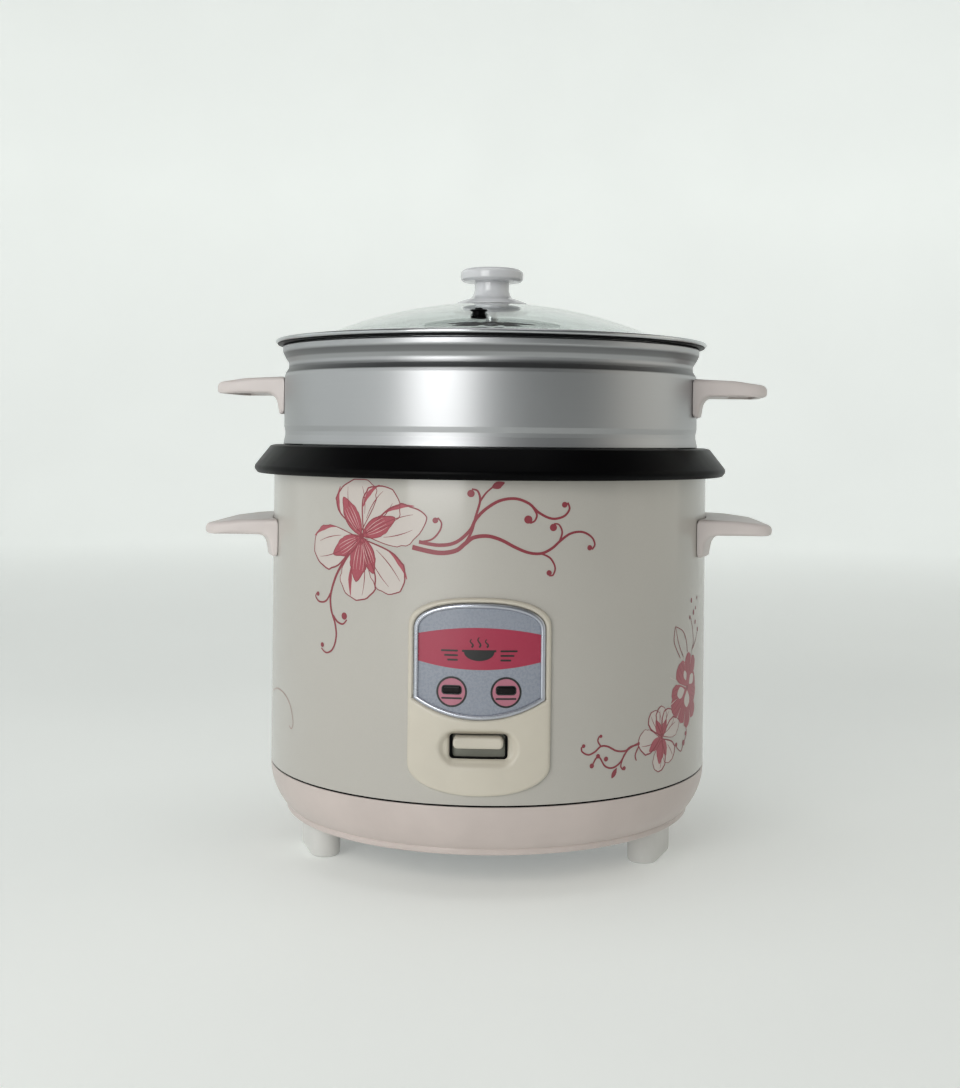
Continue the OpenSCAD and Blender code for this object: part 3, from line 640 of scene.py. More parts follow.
def plate(name, loops, step, rho, radius, back, body, mat, place=flat, dish=None, extra_rings=(), **options):
    """A plate wrapped on a cylinder, edges rounded by rho; dish(u, z) sinks the face."""
    loops = [clean(loop) for loop in loops]
    rings = [dense(clean(ring), step) for ring in extra_rings]
    for loop in loops:
        for d in (0.12, 0.5, 1.0):
            rings += [inset(dense(loop, step), d * rho), inset(dense(loop, step), -d * rho)]
    pts, tris = fill(loops, step, [p for ring in rings for p in ring if inside(p[0], p[1], loops)])
    sink = round_drop(edge_distance(pts, loops), rho)
    if dish:
        sink = sink + np.array([dish(u, z) for u, z in pts])
    depth = dict(zip(pts, sink))
    verts, faces = thick(pts, tris, lambda u, z: place(u, z, radius - depth[(u, z)]), back)
    return add(name, verts, faces, body, mat, **options)


# ---------------------------------------------------------------- panel

PANEL_R = -low("panel_trim").y - 0.7
PANEL_HALF = high("panel_frame").x
LABEL_R = -low("panel_label").y
LAMP_X, _, LAMP_Z = middle("warm_lamp_window")
KEY_Z = middle("switch_button")[2]
SLOT_W, SLOT_H, SLOT_Z = 29.4, 12.6, KEY_Z - 2.7


def panel_outline():
    side_top, side_low = 138, 69.6
    top, bottom = high("panel_frame").z, low("panel_frame").z
    return outline(PANEL_HALF, lambda x: side_top + (top - side_top) * crown(x, 2.4),
                   lambda x: side_low - (side_low - bottom) * crown(x, 2.2))


def trim_outline(gap):
    """Outline of the bright moulding, moved in by a gap: crowned top, lower edge an arc."""
    half, side_top, arc_r = high("panel_trim").x - gap, 136.6, 60.8
    top, base = high("panel_trim").z - gap, low("panel_trim").z + gap
    return outline(half, lambda x: side_top + (top - side_top) * crown(x, 2.4),
                   lambda x: base + arc_r - sqrt(arc_r ** 2 - (half * x) ** 2))


def lamp_hole(side, grow=0.0):
    return rrect(9.2 + grow, 3.7 + grow, 1.2 + grow / 2, side * LAMP_X, LAMP_Z)


def behind(radius):
    """The back of a plate, on a cylinder of its own."""
    return lambda u, z: flat(u, z, radius)


def build_panel():
    slot = rrect(SLOT_W, SLOT_H, 2, 0, SLOT_Z)
    recess = rrect(40.7, 19.4, 9.6, 0, SLOT_Z - 0.7, 10)
    recess_depth, recess_slope, wall = 2.2, 2.9, 1.2

    def dish(u, z):
        if not inside(u, z, [recess]):
            return 0.0
        return recess_depth * ease(float(edge_distance([(u, z)], [recess])[0]) / recess_slope)

    plate("panel_bezel", [panel_outline(), clean(trim_outline(-0.1)), slot], 1.5, 1.7, PANEL_R,
          lambda u, z: flat(u, z, min(BODY_R + 0.15, PANEL_R - dish(u, z) - wall)), "cooker", "ivory_plastic",
          dish=dish, extra_rings=[recess] + [inset(recess, d) for d in (1.0, 2.0, recess_slope)],
          replaces=["panel_frame"])
    # black sleeve behind the slot, painted shade for the dark gaps beside the key, open where the key and its
    # plate run
    sleeve = [rrect(SLOT_W + 2.4, SLOT_H + 2.4, 3, 0, SLOT_Z), rrect(26.7, 11.6, 1.6, 0, SLOT_Z + 0.1)]
    plate("slot_shade_sleeve", sleeve, 1.5, 0.3, PANEL_R - 3.6, behind(PANEL_R - 6.6), "cooker", "black_plastic",
          replaces=["panel_frame"])
    sheet = [clean(trim_outline(1.4)), lamp_hole(-1, 0.2), lamp_hole(1, 0.2)]
    plate("panel_sheet", sheet, 2.2, 0.12, LABEL_R, behind(LABEL_R - 0.65), "cooker", "label_film",
          replaces=["panel_label"])
    build_trim()
    for side, node in ((-1, "cook_lamp_window"), (1, "warm_lamp_window")):
        plate(node + "_lens", [lamp_hole(side)], 0.7, 0.55, LABEL_R + 0.35, behind(LABEL_R - 2), "cooker",
              "lamp_smoke", replaces=[node])
    build_key()
    build_label_print()


def build_trim():
    """Half-round bright moulding, mitred at the two lower corners."""
    outer = dense(clean(trim_outline(0)), 1.6)
    # distance in from the outline and height over the panel
    section = [(0, -1.6), (0, -0.3), (0.15, 0.1), (0.5, 0.44), (0.95, 0.64), (1.3, 0.68), (1.65, 0.6),
               (2.05, 0.36), (2.35, -0.05), (2.45, -0.5), (2.45, -1.6)]
    rings = [[flat(u, z, PANEL_R + out) for u, z in inset(outer, d)] for d, out in section]
    add("panel_moulding", *skin(rings, "joined"), "cooker", "bezel_chrome", replaces=["panel_trim"],
        smooth=50)


def build_key():
    """Moulded key: crowned bar with a shallow thumb hollow, on two pegs."""
    lo, hi = low("switch_button"), high("switch_button")
    w, h = hi.x - lo.x, hi.z - lo.z
    body_back = -120.65

    def dish(u, z):
        return 0.35 * crown(u / (w * 0.46), 2) * crown((z - KEY_Z) / (h * 0.5), 2)

    plate("cook_key", [rrect(w, h, 2.2, 0, KEY_Z)], 0.8, 1.3, -lo.y, lambda u, z: (u, body_back, z), "lever",
          "ivory_plastic", place=lambda u, z, r: (u, -r, z), dish=dish, replaces=["switch_button"])
    for side, name in ((-1, "left"), (1, "right")):
        spin_about("key_peg_" + name, (side * 8, body_back - 0.2, KEY_Z),
                   [(0, 0), (1.5, 0), (1.5, 3.4), (1.1, 4.0), (0, 4.0)], "lever", "ivory_plastic")


def build_label_print():
    band = Print("label_band", "crimson_ink", flat, LABEL_R + 0.02, LABEL_R + 0.06)
    discs = Print("lamp_discs", "lamp_pink", flat, LABEL_R + 0.02, LABEL_R + 0.06)
    dark = Print("label_marks", "black_ink", flat, LABEL_R + 0.07, LABEL_R + 0.1)
    half, top, bottom, n = high("panel_trim").x - 2.4, 138.3, 117.3, 24
    us = [half * (2 * k / n - 1) for k in range(n + 1)]
    band.area([[(u, bottom + 3.8 * (u / half) ** 2) for u in us]
               + [(u, top - 3.4 * (u / half) ** 2) for u in reversed(us)]], 2.2)
    for side in (-1, 1):
        x, z = side * LAMP_X, LAMP_Z - 1
        discs.area([circle(x, z, 7.2), lamp_hole(side, 0.3)], 1.4)
        dark.area([circle(x, z, 7.75), circle(x, z, 6.75)], 0.8)
        dark.area([lamp_hole(side, 1.1), lamp_hole(side, 0.1)], 0.5)
        dark.area([rrect(10.4, 0.95, 0.4, x, z - 3.2, 3)], 0.5)
    # bowl of rice with three wisps of steam, between bars of falling length
    bowl_z, bowl_r, bowl_depth = 126.2, 7.6, 4.4
    bowl = [(bowl_r * cos(pi + pi * k / 16), bowl_z + bowl_depth * sin(pi + pi * k / 16)) for k in range(17)]
    lip = [(8.6, bowl_z + 0.1), (8.6, bowl_z + 1.1), (-8.6, bowl_z + 1.1), (-8.6, bowl_z + 0.1)]
    dark.area([bowl + lip], 0.8)
    for x, rise in ((-3.8, 4.0), (0, 5.0), (3.8, 4.0)):
        wisp = [(x + 0.7 * sin(2 * pi * k / 8), bowl_z + 2.4 + rise * k / 8) for k in range(9)]
        dark.stroke([(u, z, 0.95 - 0.02 * i) for i, (u, z) in enumerate(spline(wisp, 3))])
    for side in (-1, 1):
        for k in range(3):
            length = 8.6 - 1.6 * k
            dark.area([rrect(length, 0.95, 0.4, side * (10.6 + length / 2), bowl_z + 0.6 - 2.3 * k, 2)], 0.6)
    for layer in (band, discs, dark):
        layer.build()


# ---------------------------------------------------------------- handles

def handle(node, body, wall_r, half_w, side, turn, drop, lift=0.0):
    """Shelf grip on a slim bracket, its top falling away towards a rounded tip. The drops are from the
    root down to the tip and to the underside, the turn and the lift set the grip on the wall."""
    tip_r, edge, gap = 10.0, 2.4, 0.3
    pocket_start, pocket_end, pocket_roof = 18.0, 5.5, 1.6
    z_low, z_root = low(node).z + lift, high(node).z + lift
    tip = max(abs(low(node).x), abs(high(node).x))
    z_tip, under = z_root - drop[0], z_root - drop[1]
    # sections across the grip, closer together where its outline turns
    stations = [half_w - edge + edge * sin(pi / 2 * k / 7) for k in range(8)]
    stations += [half_w - tip_r + (tip_r - edge) * k / 5 for k in range(5)]
    stations += [(half_w - tip_r) * k / 8 for k in range(8)]
    stations = sorted(set([round(s, 5) for s in stations] + [-round(s, 5) for s in stations]))
    rings = []
    for y in stations:
        wall = sqrt(wall_r ** 2 - y * y)
        past = max(0.0, abs(y) - (half_w - tip_r))
        reach = tip - tip_r + sqrt(max(0.0, tip_r ** 2 - past ** 2)) - wall
        near = max(0.0, abs(y) - (half_w - edge))
        e = edge - sqrt(max(0.0, edge ** 2 - near ** 2))
        low_face, far_face = under + e * 0.7, reach - e * 0.7
        pocket = low_face + max(0.01, min(1.0, (half_w - 4.5 - abs(y)) / 1.5)) * (z_tip - under - pocket_roof)
        # the bracket is cut up in an arch between its two legs
        foot = z_low + (under - 4.6 - z_low) * ease((half_w * 0.58 - abs(y)) / 7)
        section = soft([
            (gap, foot + e, 0.9), (3.0 - e * 0.3, foot + e, 1.2), (5.0 - e * 0.5, low_face, 9),
            (pocket_start, low_face, 0), (pocket_start, pocket, 0),
            (reach - pocket_end, pocket, 0), (reach - pocket_end, low_face, 0),
            (far_face, low_face, 2.2), (far_face, z_tip - e * 0.6, 3.4),
            (reach * 0.6, z_root - drop[0] * 0.3 - e * 0.9, 40), (gap, z_root - e, 1.2)], 5)
        rings.append([(side * ((wall + d) * cos(turn) - y * sin(turn)),
                       side * ((wall + d) * sin(turn) + y * cos(turn)), z) for d, z in section])
    add(node.replace("handle", "grip"), *skin(rings, "capped"), body, "pearl_plastic", replaces=[node],
        smooth=38)


# ---------------------------------------------------------------- turned pieces

def build_base():
    base = low("base_shell").z
    arc_r, wall = 34.0, 2.4
    cx, cz = BODY_R - arc_r, SEAM_Z - 0.4
    foot_ring = [(115.3, base + 3.7, 0.3), (115.7, base + 3.2, 0.3), (115.7, base + 1.1, 0.5),
                 (115.0, base + 0.5, 0.4), (110.4, base, 0.5), (84, base, 0.6), (84, base + 2.2, 0.4),
                 (107, base + 2.2, 1.5)]
    spigot = [(121.8, SEAM_Z, 0), (121.8, 58, 0.3), (124.2, 58, 0.3), (124.2, cz, 0)]
    outer = [(r, z, 0) for r, z in arc_points(cx, cz, arc_r, range(-3, -43, -3))]
    inner = [(r, z, 0) for r, z in arc_points(cx, cz, arc_r - wall, range(-50, 0, 5))]
    lathe("base_pan", soft([(BODY_R, cz, 0.5)] + outer + foot_ring + inner + spigot, 4), "cooker",
          "base_plastic", replaces=["base_shell"])


def build_rim_ring():
    rim_r = high("top_ring").x
    lathe("rim_ring", soft([
        (113.3, 217, 0.4), (115.5, 217, 0.4), (115.5, 225.5, 0.6), (125.6, 225.3, 1), (127.2, 223.8, 1.5),
        (132, 217.4, 2), (132.6, 215.8, 0.6), (132, 214.3, 0.6), (BODY_R + 1.8, 213.4, 0.3),
        (BODY_R + 1.8, 212, 0.3), (rim_r - 2.4, 212, 1.4), (rim_r, 215.2, 3.2), (127.2, 227.4, 1.6),
        (124.8, RIM_Z, 2.2), (114.3, RIM_Z, 0.8), (113.3, RIM_Z - 1, 0.4)], 7),
        "cooker", "black_plastic", replaces=["top_ring"], smooth=35)


def build_seam_shade():
    """Black ring in the gap between the shell and the base, set back from both: painted shadow for the seam
    line.
    """
    inner, outer = 124.3, BODY_R - 0.28
    foot, top = SEAM_Z - 0.32, SEAM_Z + 0.52
    profile = soft([(inner, foot, 0.1), (outer, foot, 0.15), (outer, top, 0.15), (inner, top, 0.1)], 3)
    lathe("seam_shade_ring", profile, "cooker", "black_plastic", seg=240)


def build_pot():
    r, z = 109.0, low("inner_pot").z
    wall, corner = 1.2, 12.0
    flange_r, flange_z = high("inner_pot").x, high("inner_pot").z
    outer = arc_points(r - corner, z + corner, corner, range(-90, 1, 9))
    inner = arc_points(r - corner, z + corner, corner - wall, range(0, -91, -9))
    flange = soft([(r, flange_z - 2.4, 0.6), (flange_r - 0.7, flange_z - 2.4, 0.8),
                   (flange_r, flange_z - 1.2, 0.8), (flange_r - 0.7, flange_z, 0.8), (r, flange_z, 0.8),
                   (r - wall, flange_z - 1.6, 0.6)], 5)
    lathe("pot_pressing", clean([(0, z)] + outer + flange + inner + [(0, z + wall)]), "pot", "pot_aluminium",
          replaces=["inner_pot"], seg=160)


STEAMER_R = high("steamer_body").x - 1.2


def build_steamer():
    """Drum with two rolled grooves under its rim; radii are counted from its plain wall."""
    r, top, foot = STEAMER_R, high("steamer_body").z, LEDGE_Z
    outside = [(0.6, top, 0.2), (1.2, top - 0.7, 0.6), (1.2, top - 1.7, 0.5), (1.15, 281, 2),
               (-0.6, 277.4, 3), (-2.4, 274.6, 2.2), (-2.4, 271.6, 2.2), (-0.6, 268.9, 2), (0, 266.8, 1.6),
               (0, 238.5, 3), (-0.6, 235.6, 1.5), (-0.6, 233.4, 1.5), (-0.1, 231.2, 1.2),
               (0.4, RIM_Z + 0.4, 0.3)]
    seat = [(r - 0.5, RIM_Z + 0.4, 0.2), (r - 0.5, 231.2, 0.3), (107, 231.2, 1.2), (107, foot, 1.4),
            (100, foot, 0.2), (100, foot + 1, 0.2), (106, foot + 1, 0.8), (106, 232.2, 0.8),
            (r - 1.6, 232.3, 0.4)]
    wall = [(x - 1, z, max(0.2, rad - 0.4)) for x, z, rad in reversed(outside[2:12])]
    profile = soft([(r + x, z, rad) for x, z, rad in outside] + seat + [(r + x, z, rad) for x, z, rad in wall]
                   + [(r - 0.5, top - 1.2, 0.3), (r - 0.7, top, 0.15)], 6)
    lathe("steamer_drum", clean(profile), "steamer", "drum_aluminium", replaces=["steamer_body"], seg=240,
          smooth=42)


# ---------------------------------------------------------------- lid

DOME_TOP = high("lid_glass").z
GLASS_R = high("lid_glass").x
DOME_R = 245.0
DOME_EDGE = 97
FLANGE_EDGE = 111
FLANGE_Z = 287.8
RUN_OUT = 1.785  # power with which the dome leaves its sphere without a crease
GLASS_T = 3.0
VENT = (-4.2, -74.0)
KNOB_R = 18.4


def dome(r, depth=0.0):
    """Height of the glass at a radius: a sphere running out into a flat flange."""
    crest = DOME_TOP - DOME_R + sqrt((DOME_R - depth) ** 2 - min(r, DOME_EDGE) ** 2)
    if r <= DOME_EDGE:
        return crest
    t = max(0.0, (FLANGE_EDGE - r) / (FLANGE_EDGE - DOME_EDGE))
    return FLANGE_Z - depth + (crest - FLANGE_Z + depth) * t ** RUN_OUT


def build_lid():
    loops = [circle(0, 0, GLASS_R, 180), circle(0, 0, 3.2, 24), circle(*VENT, 3.6, 24)]
    rings = [p for r in (DOME_EDGE, 100.5, 103.5, 107, FLANGE_EDGE, 115) for p in circle(0, 0, r, 180)]
    pts, tris = fill(loops, 5.0, rings)
    verts, faces = thick(pts, tris, lambda x, y: (x, y, dome(hypot(x, y))),
                         lambda x, y: (x, y, dome(hypot(x, y), GLASS_T)))
    add("lid_dome", verts, faces, "lid", "clear_glass", replaces=["lid_glass"], smooth=40)

    lathe("lid_rim", soft([
        (117.2, 279.6, 0.3), (118.2, 279.6, 0.3), (118.2, 285.0, 0.4), (120.9, 285.0, 0.3),
        (121.6, 285.7, 0.3), (125, 285.7, 1.1), (125, 287.9, 1.1), (121, 288.4, 1), (116.5, 288.35, 0.2),
        (116.4, 287.95, 0.05), (119.65, 287.95, 0), (119.65, 284.8, 0.1), (117.2, 284.8, 0.3)], 6),
        "lid", "rim_steel", replaces=["lid_band"], seg=240, smooth=45)
    # black ring in the gap under the lid's lip: painted shade for the shadow between the lid and the
    # steamer's rim
    lathe("lid_shade_ring", soft([
        (118.35, 284.7, 0.2), (121.1, 284.7, 0.3), (123.7, 285.1, 0.4), (123.9, 285.64, 0.2),
        (121.7, 285.64, 0.1), (121.0, 284.95, 0.1), (118.35, 284.9, 0.1)], 4),
        "lid", "black_plastic", replaces=["lid_band"], seg=240)
    lathe("lid_handle_knob", soft([
        (0, DOME_TOP + 0.82, 0), (17.3, DOME_TOP + 0.82, 0.2), (17.7, dome(17.7) + 0.1, 0.2),
        (22.3, dome(22.3) + 0.08, 0.1), (22.3, dome(22.3) + 0.5, 0.2), (17.4, DOME_TOP + 1.6, 5),
        (11.4, 314.6, 4.5), (10.15, 318.5, 6), (10.15, 323.6, 0.7), (KNOB_R - 1.5, 324.0, 0.7),
        (KNOB_R - 0.15, 325.3, 1.2), (KNOB_R, 329.7, 2.0), (KNOB_R - 2.4, 331.3, 3),
        (8, 331.95, 8), (0, high("lid_knob").z, 0)], 8),
        "lid", "knob_plastic", replaces=["lid_knob"], seg=128, smooth=50)
    build_lid_fittings()


def build_lid_fittings():
    def fitting(name, corners, mat, steps=4, centre=(0, 0), seg=48):
        ob = lathe(name, soft(corners, steps), "lid", mat, seg=seg, replaces=["lid_fittings"])
        for v in ob.data.vertices:
            v.co.x += centre[0] * MM
            v.co.y += centre[1] * MM

    under = dome(0, GLASS_T)
    disc = low("lid_fittings").z + 5.5
    vent = dome(hypot(*VENT))
    # grey silicone disc under the knob's flange: painted shade for the shaded gap under the flange
    fitting("knob_shade_gasket", [(3.2, DOME_TOP + 0.05, 0), (17, dome(17) + 0.06, 0.2), (17, DOME_TOP + 0.72, 0.2),
                            (3.2, DOME_TOP + 0.76, 0)], "silicone", 3)
    fitting("knob_washer", [(2.5, under - 1.0, 0.1), (13.6, under - 1.0, 0.2), (13.6, under - 0.5, 0.2),
                            (2.5, under - 0.3, 0.1)], "screw_steel", 3)
    # spacer and dark disc under the glass: the disc is painted shade, standing in for the knob's shaded
    # underside mirrored in the dome
    fitting("shade_disc_spacer", [(2.5, disc + 0.9, 0.2), (3.6, disc + 0.9, 0.4), (3.6, under - 1.1, 0.4),
                                 (2.5, under - 1.1, 0.2)], "screw_steel", 3)
    fitting("shade_disc", [(2.5, disc, 0.1), (14, disc, 6), (25.7, disc - 1.9, 0.2),
                               (26, disc - 1.2, 0.3), (14, disc + 0.8, 6), (2.5, disc + 0.8, 0.1)],
            "deflector_steel", seg=72)
    fitting("knob_screw", [(0, disc - 2.6, 0), (3.2, disc - 2.8, 1.0), (4.6, disc - 1.6, 0.8),
                           (4.6, disc - 0.2, 0.3), (2.4, disc - 0.1, 0.1), (2.4, 319, 0.4), (0, 319.4, 0)],
            "screw_steel")
    fitting("vent_grommet", [(2.3, vent - 4.9, 0.3), (4.6, vent - 4.8, 0.5), (4.7, vent - 4.0, 0.4),
                             (3.5, vent - 3.9, 0.2), (3.5, vent + 0.9, 0.3), (4.7, vent + 1.0, 0.4),
                             (4.6, vent + 1.7, 0.4), (3.2, vent + 2.0, 0.4), (2.3, vent + 1.8, 0.3)],
            "black_plastic", centre=VENT)
    fitting("vent_eyelet", [(1.2, vent + 1.2, 0.2), (1.9, vent + 1.9, 0.1), (2.1, vent + 2.4, 0.3),
                            (1.9, vent + 2.9, 0.3), (1.2, vent + 2.5, 0.3)], "black_plastic", centre=VENT)


def build_feet():
    """Oblong feet with a radiused tread and a slight draught."""
    width, length, corner = 17, 40, 8.4
    for node in ("foot_front_left", "foot_front_right", "foot_rear"):
        top = high(node).z
        cx, cy, _ = middle(node)
        out, angle = hypot(cx, cy), atan2(cy, cx)
        c, s = cos(angle), sin(angle)
        rings = []
        for z, back in ((0, 2.4), (0.15, 1.5), (0.6, 0.8), (1.4, 0.35), (2.6, 0.15), (top - 1, 0),
                        (top - 0.3, 0.2)):
            loop = rrect(width - 2 * back, length - 2 * back, corner - back, 0, 0, 10)
            rings.append([((x + out) * c - y * s, (x + out) * s + y * c, z) for x, y in loop])
        add(node.replace("foot", "pad"), *skin(rings, "capped"), "cooker", "grey_plastic", replaces=[node],
            smooth=35)


# ---------------------------------------------------------------- printed flowers

PRINT_R = BODY_R + 0.03


def out_from(flower, angle, a, b):
    """The point a millimetres out from a flower's centre at an angle in degrees, and b to its left."""
    c, s = cos(radians(angle)), sin(radians(angle))
    return (flower[0] + a * c - b * s, flower[1] + a * s + b * c)


def petal(flower, angle, length, width, start=0.0, notch=0.0, lean=0.0, full=0.62, n=22):
    """Petal outline pointing at angle (degrees): fullest part way out, tip notched or pointed."""
    pts = []
    for i in range(2 * n):
        t = (1 - cos(pi * i / n)) / 2
        sign = 1 if i <= n else -1
        half = width * sin(pi * min(1, t) ** (log(0.5) / log(full))) ** 0.72
        dip = notch * exp(-((t - 1) / 0.09) ** 2)
        wave = 1 + 0.05 * sin(9 * t * pi + (0 if sign > 0 else 1.3)) * (t > 0.5)
        out = start + (length - start) * t - dip
        pts.append(out_from(flower, angle, out, sign * half * wave + lean * t * t))
    return clean(pts, 0.12)


def taper(points, w0, w1, w2, n=6):
    """Smooth path whose width runs from w0 through w1 to w2."""
    path = spline(points, n)
    out = []
    for i, (u, z) in enumerate(path):
        t = i / (len(path) - 1)
        w = w0 + (w1 - w0) * 2 * t if t < 0.5 else w1 + (w2 - w1) * (2 * t - 1)
        out.append((u, z, w))
    return out


def vein(layer, flower, angle, length, offset, t0, t1, widths, lean=0.0, n=7):
    """A line running out from a flower's centre, beside a petal's midrib."""
    points = []
    for k in range(n + 1):
        t = t0 + (t1 - t0) * k / n
        points.append(out_from(flower, angle, length * t, offset * sin(pi * t * 0.8) + lean * t * t))
    layer.stroke(taper(points, *widths, 3))


def rim(loop, w, skip=0.0, vary=0.35):
    """Ribbon round an outline, thicker on one side as a brush leaves it."""
    loop = dense(loop, 1.3)
    n = len(loop)
    return [(*loop[i % n], w * (1 + vary * sin(2 * pi * i / n)))
            for i in range(int(n * skip), n + 1 - int(n * skip))]


def draw(layer, lines=(), dots=(), squash=1.0, n=14):
    """Lines of points with their first, middle and last width, and dots (u, z, radius)."""
    for points, *widths in lines:
        layer.stroke(taper(points, *widths))
    for u, z, r in dots:
        layer.dot(u, z, r, squash, n)


def build_flowers():
    pale = Print("flower_ground", "petal_ink", arc, PRINT_R, PRINT_R + 0.015)
    rose = Print("flower_petals", "rose_ink", arc, PRINT_R + 0.02, PRINT_R + 0.035)
    line = Print("flower_lines", "line_ink", arc, PRINT_R + 0.045, PRINT_R + 0.065)
    light = Print("flower_lights", "light_ink", arc, PRINT_R + 0.05, PRINT_R + 0.07)
    gaps = Print("flower_windows", "petal_ink", arc, PRINT_R + 0.05, PRINT_R + 0.07)
    faded = Print("edge_scroll", "faded_ink", arc, PRINT_R + 0.01, PRINT_R + 0.03)
    big_flower(pale, rose, line, light)
    vines(line)
    outlined_flower(pale, rose, line)
    solid_flower(rose, line, gaps)
    sprigs(line)
    # faint scroll at the left edge
    draw(faded, [([(-159, 89.4), (-146, 92.8), (-133, 92.2), (-124.4, 88), (-120.6, 82), (-119.8, 77.6),
                   (-121.8, 74.8), (-124.6, 76)], 0.8, 0.8, 0.6)])
    for layer in (pale, rose, line, light, gaps, faded):
        layer.build(smooth=60)


def big_flower(pale, rose, line, light):
    flower = (-64.5, 182.0)
    # outer petals: angle, length, half width, notch, lean and the side with a brushed edge
    for angle, length, width, notch, lean, brushed in (
            (104, 31, 13.5, 1.6, -2, 0.93), (55, 31, 11.5, 0.6, -1, 0.82), (14, 37, 10.5, -1.5, 1.5, 0.9),
            (-48, 37, 9.8, 1.4, -1, 0.9), (-97, 35, 11.5, 1.8, 1, -0.42), (197, 37, 11.5, 1.2, -1, -0.9)):
        shape = petal(flower, angle, length, width, 2, notch, lean)
        pale.area([shape], 2.2)
        line.stroke(rim(shape, 0.62, 0.03))
        for side, t0, t1 in ((0.38, 0.30, 0.86), (-0.42, 0.35, 0.8)):
            vein(line, flower, angle, length, side * width, t0, t1, (0.2, 0.5, 0.15), lean)
        vein(rose, flower, angle, length, brushed * width, 0.42, 0.9, (0.5, 2.6, 0.4), lean)
    for angle, length, width in ((122, 22, 4.6), (27, 21, 5.0), (208, 20.5, 4.8), (262, 22.5, 5.6),
                                 (292, 19, 4.2)):
        shape = petal(flower, angle, length, width, 0.5, -1.2, 0, 0.52)
        rose.area([shape], 1.6)
        line.stroke(rim(shape, 0.42, 0.03))
        for side in (-0.5, -0.15, 0.25, 0.6):
            vein(light, flower, angle, length, side * width, 0.2, 0.78, (0.12, 0.42, 0.1))
    line.dot(*flower, 1.5)
    for k in range(5):
        angle = 40 + 72 * k
        stamen = [flower, out_from(flower, angle, 2.4, 0), out_from(flower, angle + degrees(0.25), 4.4, 0)]
        line.stroke(taper(stamen, 0.7, 0.5, 0.3, 3))
    # tendrils under the flower
    draw(line, [
        ([(-73, 172.5), (-81, 161.5), (-85.3, 151), (-85, 143), (-82, 136), (-81, 129), (-83.6, 122.3),
          (-88.4, 120), (-92.4, 122)], 1.5, 1.15, 0.8),
        ([(-85.3, 151.6), (-89, 147), (-94.4, 146.2), (-97.6, 148.6), (-96.4, 150.6)], 1.1, 0.9, 0.7),
        ([(-83.4, 140), (-80.2, 136.9), (-76.4, 136), (-73.6, 138.4)], 1.0, 1.0, 0.8)],
        [(-91.6, 123.8, 1.3), (-95.6, 150.2, 1.2), (-75.4, 140.2, 1.9)])


def vines(line):
    """Two long vines to the right of the big flower, with side shoots that end in dots."""
    draw(line, [
        ([(-31.5, 180.4), (-21, 179), (-12.5, 180.6), (-5.4, 186.6), (-2.4, 192.4), (2.6, 197.6),
          (9.6, 201.8), (17.4, 202.8), (24.2, 200.4), (29.4, 195.8), (36.2, 192.8), (42.4, 194),
          (45.4, 197.6), (44.4, 200.9)], 1.9, 1.5, 1.0),
        ([(-35, 177.6), (-21.6, 175.2), (-12.6, 176.4), (-7.6, 180.2), (-3.4, 183.2), (3.4, 184),
          (10.2, 182.2), (17.2, 178.6), (24.2, 175.8), (30.8, 175.4), (36.4, 178), (40.6, 181.6),
          (46, 185.2), (52.4, 186), (57.8, 183.4), (59.8, 179.6), (58.2, 177)], 2.5, 1.5, 0.9),
        ([(-7.6, 180.4), (-4.4, 186.4), (-2.4, 194.2), (-0.4, 201.6), (-1.6, 206.4), (-4.6, 207.4)],
         1.3, 1.2, 0.9),
        ([(-0.4, 201.4), (2.6, 205.6), (6.2, 208.8)], 1.1, 0.9, 0.8),
        ([(25.8, 199.2), (28.2, 195), (27.2, 191.8), (24.8, 190.6)], 1.2, 1.0, 0.9),
        ([(40.2, 181.2), (41.6, 186), (39.8, 189.8), (37.2, 190.2)], 1.1, 0.9, 0.8),
        ([(30.8, 175.3), (35.4, 173), (38, 168.4), (37, 164.6), (34.9, 164.2)], 1.0, 0.9, 0.8),
        ([(-31, 180.4), (-24.8, 181.8), (-20.8, 186), (-19.8, 190), (-21.8, 192.8)], 1.0, 0.9, 0.8)],
        [(42.8, 199.8, 1.5), (56.9, 177.9, 1.4), (-5.0, 205.2, 1.9), (23.9, 192.4, 2.1), (36.9, 188.4, 1.9),
         (34.9, 165.6, 1.4), (-23, 191.4, 1.5)])
    line.area([petal((5.2, 208.2), 22, 6.4, 1.9, 0, -0.8, 0, 0.55, 10)], 0.9)


def outlined_flower(pale, rose, line):
    """The spray's lower flower."""
    flower = (107.8, 76.0)
    for angle, length, width, notch, lean in (
            (122, 17.5, 5.2, 0.8, 0), (92, 17, 4.6, 0.4, 0), (58, 17, 5.4, 0.8, 0), (20, 18, 5.2, -0.5, 0),
            (-52, 17.5, 6.0, 1.0, 0), (-99, 19, 5.4, 1.0, 0), (186, 19, 6.6, 0.2, -1)):
        shape = petal(flower, angle, length, width, 1.2, notch, lean)
        pale.area([shape], 1.8)
        line.stroke(rim(shape, 0.55, 0.02, 0.5))
        vein(line, flower, angle, length, 0.3 * width, 0.4, 0.85, (0.2, 0.45, 0.15), lean)
    for angle, length, width in ((118, 10.5, 2.6), (66, 9.5, 2.3), (210, 11.5, 3.0), (262, 13.5, 3.4),
                                 (292, 10.5, 2.6)):
        rose.area([petal(flower, angle, length, width, 0.2, -0.6, 0, 0.5, 14)], 1.2)
    line.dot(*flower, 1.0)


